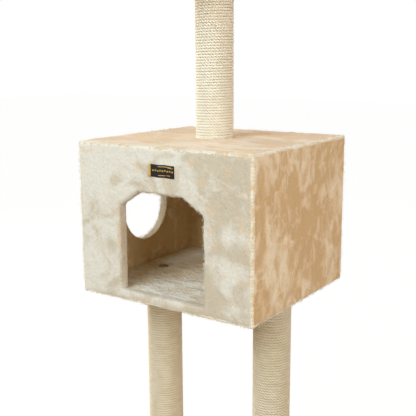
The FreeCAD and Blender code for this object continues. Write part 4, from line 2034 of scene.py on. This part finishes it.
@dataclass
class Rim:
    """The perch's stuffed rim: a roll of plush, flat where it is sewn down, swollen elsewhere."""

    palette: Palette
    node: str = "perch_rim"
    ring: float = 100 * MM
    slack: float = 3 * MM
    voxel: float = 5.5 * MM
    pressure: float = 4.0
    frames: int = 20
    cap: float = 7 * MM
    held_height: float = 2 * MM
    sunk: float = 6 * MM
    corner: float = 47 * MM
    pile_rise: float = 10 * MM
    fill: float = 0.85

    def build(self) -> Piece:
        """Makes the rim.

        Returns:
            The rim, in place.
        """
        box = Box.of(self.node)
        radius = (box.size.z + self.sunk) / 2
        half = Vector((box.size.x / 2 - radius, box.size.y / 2 - radius))
        deselect()
        bpy.ops.mesh.primitive_torus_add(
            major_segments=160,
            minor_segments=24,
            major_radius=self.ring,
            minor_radius=radius - self.slack,
        )
        rim = bpy.context.object
        rim.name = rim.data.name = "perch_rim_plush"
        self.bend(rim, half)
        points = positions(rim)
        floor = self.sunk - radius
        points[:, 2] = np.maximum(points[:, 2], floor)
        move_to(rim, points)
        self.swell(rim, floor)
        subdivide(rim, 1)
        group = rim.vertex_groups.new(name=PILE_GROUP)
        points = positions(rim)
        weights = smoothstep((points[:, 2] - floor) / self.pile_rise)
        for share in np.linspace(0, 1, 11):
            members = np.flatnonzero(np.abs(weights - share) <= 0.05)
            group.add([int(index) for index in members], float(share), "REPLACE")
        raise_pile(rim)
        rim.location = (box.middle.x, box.middle.y, box.low.z - floor)
        apply_place(rim)
        dress(rim, self.palette["rim"], "rim_plush", self.node)
        return rim

    def bend(self, rim: Piece, half: Vector) -> None:
        """Lays the ring along a rectangle with round corners.

        Args:
            rim: The ring.
            half: Half the rectangle's width and depth.
        """
        points = positions(rim)
        turn = np.arctan2(points[:, 1], points[:, 0])
        out = np.hypot(points[:, 0], points[:, 1]) - self.ring
        path = self.outline(np.array([half.x - self.corner, half.y - self.corner]))
        step = np.hypot(*np.diff(path, axis=0).T)
        length = np.concatenate([[0], np.cumsum(step)])
        where = (turn + math.pi) / (2 * math.pi) * length[-1]
        middle = np.stack([np.interp(where, length, path[:, axis]) for axis in (0, 1)], 1)
        ahead = np.gradient(path, axis=0)
        normal = np.stack([ahead[:, 1], -ahead[:, 0]], 1)
        normal /= np.hypot(*normal.T)[:, None]
        side = np.stack([np.interp(where, length, normal[:, axis]) for axis in (0, 1)], 1)
        points[:, :2] = middle + side * out[:, None]
        move_to(rim, points)

    def outline(self, inner: np.ndarray) -> np.ndarray:
        """Draws the rim's middle line, once round from its left side.

        Args:
            inner: Half the width and depth between the corners' centres.

        Returns:
            Its points, close together.
        """
        points: list[np.ndarray] = []
        corners = [(-1, -1, 180), (1, -1, 270), (1, 1, 0), (-1, 1, 90)]
        for sign_x, sign_y, start in corners:
            angles = np.radians(np.linspace(start, start + 90, 200))
            arc = np.stack([np.cos(angles), np.sin(angles)], 1) * self.corner
            points.append(arc + inner * np.array([sign_x, sign_y]))
        path = np.concatenate(points)
        path = np.concatenate([path, path[:1]])
        dense = [path[:1]]
        for first, second in zip(path, path[1:]):
            count = max(1, int(np.hypot(*(second - first)) / (2 * MM)))
            shares = np.linspace(0, 1, count + 1)[1:, None]
            dense.append(first + (second - first) * shares)
        return np.concatenate(dense)

    def swell(self, rim: Piece, floor: float) -> None:
        """Blows the rim up a little by cloth pressure, its underside held, and keeps the result.

        Args:
            rim: The rim.
            floor: The height of its underside.
        """
        activate(rim)
        rim.data.remesh_voxel_size = self.voxel
        bpy.ops.object.voxel_remesh()
        before = positions(rim)
        held = rim.vertex_groups.new(name="held")
        low = np.flatnonzero(before[:, 2] < floor + self.held_height)
        held.add([int(index) for index in low], 1.0, "REPLACE")
        cloth = rim.modifiers.new("swell", "CLOTH")
        settings = cloth.settings
        settings.use_pressure = True
        settings.uniform_pressure_force = self.pressure
        settings.vertex_group_mass = "held"
        settings.effector_weights.gravity = 0.0
        settings.quality = 6
        cloth.point_cache.frame_start = 1
        cloth.point_cache.frame_end = self.frames
        for frame in range(1, self.frames + 1):
            bpy.context.scene.frame_set(frame)
        graph = bpy.context.evaluated_depsgraph_get()
        result = np.empty(len(before) * 3)
        rim.evaluated_get(graph).data.vertices.foreach_get("co", result)
        moved = result.reshape(-1, 3) - before
        length = np.maximum(np.linalg.norm(moved, axis=1, keepdims=True), 1e-9)
        rim.modifiers.remove(cloth)
        move_to(rim, before + moved * np.minimum(1, self.cap / length))
        bpy.context.scene.frame_set(1)


# ---------------------------------------------------------------- label, fittings and studio


@dataclass(frozen=True)
class GoldBar:
    """One bar or diamond of gold thread, in shares of the tag's width and height."""

    across: float
    width: float
    up: float
    height: float
    is_diamond: bool = False


@dataclass
class Label:
    """A black woven tag with a gold edge and a pattern of plain bars, sewn above the door."""

    palette: Palette
    node: str = "front_label"
    thick: float = 0.25 * MM
    pattern: tuple[GoldBar, ...] = (
        GoldBar(-0.465, 0.075, 0.0, 1.0),
        GoldBar(-0.435, 0.025, -0.16, 0.6),
        GoldBar(-0.44, 0.03, 0.30, 0.3),
        GoldBar(0.12, 0.52, 0.36, 0.05),
        GoldBar(0.36, 0.2, 0.30, 0.04),
        GoldBar(0.02, 0.3, -0.33, 0.05),
        GoldBar(0.28, 0.12, -0.30, 0.05),
    )
    diamonds: int = 9

    def build(self) -> None:
        """Makes the tape and its gold threads."""
        box = Box.of(self.node)
        deselect()
        bpy.ops.mesh.primitive_cube_add(size=1, location=box.middle)
        tape = bpy.context.object
        tape.name = tape.data.name = "label_tape"
        tape.scale = box.size
        apply_place(tape)
        self.divide(tape, 11)
        self.wave(tape, box)
        dress(tape, self.palette["label"], "woven_label", self.node)
        gold = join("label_gold", self.bars(box))
        self.wave(gold, box)
        dress(gold, self.palette["gold"], "woven_label")

    def divide(self, obj: Piece, cuts: int) -> None:
        """Divides a block so that it can be bent."""
        with editing(obj):
            bpy.ops.mesh.subdivide(number_cuts=cuts)

    def bars(self, box: Box) -> list[Piece]:
        """Makes the gold selvedge at the left, a row of diamonds, and plain lines over and under it.

        Args:
            box: The tag's box.

        Returns:
            The bars and the diamonds.
        """
        row = [
            GoldBar(-0.33 + 0.095 * n, 0.07, 0.02 + 0.03 * (n % 2), 0.17, is_diamond=True)
            for n in range(self.diamonds)
        ]
        wide, high = box.size.x, box.size.z
        made = []
        for bar in (*self.pattern, *row):
            deselect()
            turn = (0, math.pi / 4 if bar.is_diamond else 0, 0)
            bpy.ops.mesh.primitive_cube_add(size=1, rotation=turn)
            strip = bpy.context.object
            apply_place(strip)
            shrink = math.sqrt(2) if bar.is_diamond else 1
            strip.scale = (bar.width * wide / shrink, self.thick, bar.height * high / shrink)
            across, up = box.middle.x + bar.across * wide, box.middle.z + bar.up * high
            strip.location = (across, box.low.y, up)
            apply_place(strip)
            self.divide(strip, 5)
            made.append(strip)
        return made

    def wave(self, obj: Piece, box: Box) -> None:
        """Lets the tag's ends and lower edge lift a little from the plush.

        Args:
            obj: The tape or its threads.
            box: The tag's box.
        """
        points = positions(obj)
        across = (points[:, 0] - box.middle.x) / box.size.x
        down = (box.high.z - points[:, 2]) / box.size.z
        lift = 0.5 * np.sin(across * 9 + 0.6) * down + 0.9 * np.abs(across) ** 3 * 8 * down
        points[:, 1] -= lift * MM
        points[:, 2] += 0.4 * MM * np.sin(across * 12)
        move_to(obj, points)


class Fittings:
    """The boards, tubes, screws, bolts and staples that keep their CAD shape."""

    finishes: dict[str, tuple[str, ...]] = {
        "pressed_wood": ("_board",),
        "plug_wood": ("_plug",),
        "cardboard": ("_tube",),
        "zinc": ("_bolt", "_bolts", "_washer", "_washers", "_tee_nuts"),
        "screw": ("_screws",),
        "staple": ("_staples",),
    }

    def __init__(self, palette: Palette, nodes: dict[str, Piece]) -> None:
        """Keeps what it needs.

        Args:
            palette: The finishes.
            nodes: The frame's objects, by the CAD nodes' names.
        """
        self.palette = palette
        self.nodes = nodes

    def build(self) -> None:
        """Gives every node that still shows its finish."""
        for name, node in self.nodes.items():
            for finish, endings in self.finishes.items():
                if name.endswith(endings):
                    node.data.materials.clear()
                    node.data.materials.append(self.palette[finish])


@dataclass(frozen=True)
class Lamp:
    """One large soft light, aimed at the house, with its power in watts for each colour."""

    name: str
    place: Triple
    size: float
    power: Triple

    def build(self, aim: Vector) -> None:
        """Adds the light.

        Args:
            aim: What it points at.
        """
        strongest = max(self.power)
        bpy.ops.object.light_add(type="AREA", location=self.place)
        light = bpy.context.object
        light.name = light.data.name = self.name
        light.data.size = self.size
        light.data.energy = strongest
        light.data.color = [share / strongest for share in self.power]
        light.rotation_euler = (aim - light.location).to_track_quat("-Z", "Y").to_euler()


@dataclass
class Studio:
    """Floor, soft lights and the camera."""

    eye: Vector = field(default_factory=lambda: Vector((0.87608, -1.29511, 1.01366)))
    azimuth: float = -34.65
    elevation: float = 11.58
    roll: float = -0.3527
    lens: float = 63.0
    ambient: Triple = (0.22, 0.155, 0.09)
    aim_height: float = 0.7
    floor_size: float = 30.0
    floor_gap: float = 0.5 * MM
    paper: Triple = (0.36, 0.30, 0.24)
    paper_glow: float = 1.06
    glow_share: float = 0.93
    lamps: tuple[Lamp, ...] = (
        Lamp("key", (-1.1, -2.5, 2.7), 1.8, (47.0, 58.0, 66.0)),
        Lamp("right", (3.0, -0.9, 1.3), 2.0, (53.0, 50.0, 45.0)),
        Lamp("front", (0.3, -2.8, 1.9), 1.2, (27.0, 27.0, 22.0)),
        Lamp("behind", (0.8, 3.2, 2.0), 2.4, (42.0, 38.0, 34.0)),
        Lamp("left", (-3.2, 0.5, 1.2), 2.2, (96.0, 80.0, 56.0)),
    )

    def build(self) -> None:
        """Sets up everything that isn't the object."""
        self.floor()
        self.world()
        for lamp in self.lamps:
            lamp.build(Vector((0, 0, self.aim_height)))
        self.camera()
        bpy.context.scene.view_settings.view_transform = "Standard"

    def floor(self) -> None:
        """A wide pale floor, which glows almost white to the camera alone."""
        deselect()
        bpy.ops.mesh.primitive_plane_add(size=self.floor_size, location=(0, 0, -self.floor_gap))
        floor = bpy.context.object
        floor.name = "studio_floor"
        recipe = Recipe("studio_paper")
        recipe.shader.inputs["Base Color"].default_value = (*self.paper, 1)
        recipe.shader.inputs["Roughness"].default_value = 0.9
        seen = recipe.node("ShaderNodeLightPath").outputs["Is Camera Ray"]
        glow = recipe.node("ShaderNodeEmission", Color=(1, 1, 1, 1), Strength=self.paper_glow)
        mixed = recipe.node("ShaderNodeMixShader")
        recipe.link(recipe.math("MULTIPLY", seen, self.glow_share), mixed.inputs["Fac"])
        recipe.link(recipe.shader.outputs["BSDF"], mixed.inputs[1])
        recipe.link(glow.outputs["Emission"], mixed.inputs[2])
        output = recipe.tree.nodes["Material Output"]
        recipe.link(mixed.outputs["Shader"], output.inputs["Surface"])
        floor.data.materials.append(recipe.material)

    def world(self) -> None:
        """White behind the object, and a softer, warmer light on it."""
        world = bpy.data.worlds.new("studio")
        bpy.context.scene.world = world
        world.use_nodes = True
        tree = world.node_tree
        background = tree.nodes["Background"]
        path = tree.nodes.new("ShaderNodeLightPath")
        mix = tree.nodes.new("ShaderNodeMix")
        mix.data_type = "RGBA"
        mix.inputs[6].default_value = (*self.ambient, 1)
        mix.inputs[7].default_value = (1, 1, 1, 1)
        tree.links.new(path.outputs["Is Camera Ray"], mix.inputs["Factor"])
        tree.links.new(mix.outputs[2], background.inputs["Color"])

    def camera(self) -> None:
        """The camera, turned by its azimuth, elevation and roll."""
        turn, tilt, lean = (math.radians(v) for v in (self.azimuth, self.elevation, self.roll))
        ahead = Vector(
            (math.sin(turn) * math.cos(tilt), math.cos(turn) * math.cos(tilt), -math.sin(tilt))
        )
        right = Vector((math.cos(turn), -math.sin(turn), 0))
        above = right.cross(ahead)
        across = math.cos(lean) * right + math.sin(lean) * above
        upwards = -math.sin(lean) * right + math.cos(lean) * above
        data = bpy.data.cameras.new("camera")
        data.lens = self.lens
        camera = bpy.data.objects.new("camera", data)
        bpy.context.scene.collection.objects.link(camera)
        turned = Matrix((across, upwards, -ahead)).transposed().to_4x4()
        camera.matrix_world = Matrix.Translation(self.eye) @ turned
        bpy.context.scene.camera = camera


def main() -> None:
    """Builds the cat tree round the frame."""
    logging.basicConfig(level=logging.INFO, format="%(message)s")
    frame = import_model()
    palette = Palette()
    for prefix in ("left", "right", "upper"):
        Post(prefix, palette).build()
    house = House(palette)
    house.build()
    Trim(palette, house).build()
    CoveredBoard("base_plush_cover", "base_board", palette, corner=30 * MM).build()
    CoveredBoard(
        "perch_plush_cover",
        "perch_board",
        palette,
        corner=75 * MM,
        hem=4 * MM,
        hem_width=145 * MM,
        post_under=True,
    ).build()
    Rim(palette).build()
    Label(palette).build()
    Fittings(palette, frame["nodes"]).build()
    Studio().build()


if __name__ == "__main__":
    main()
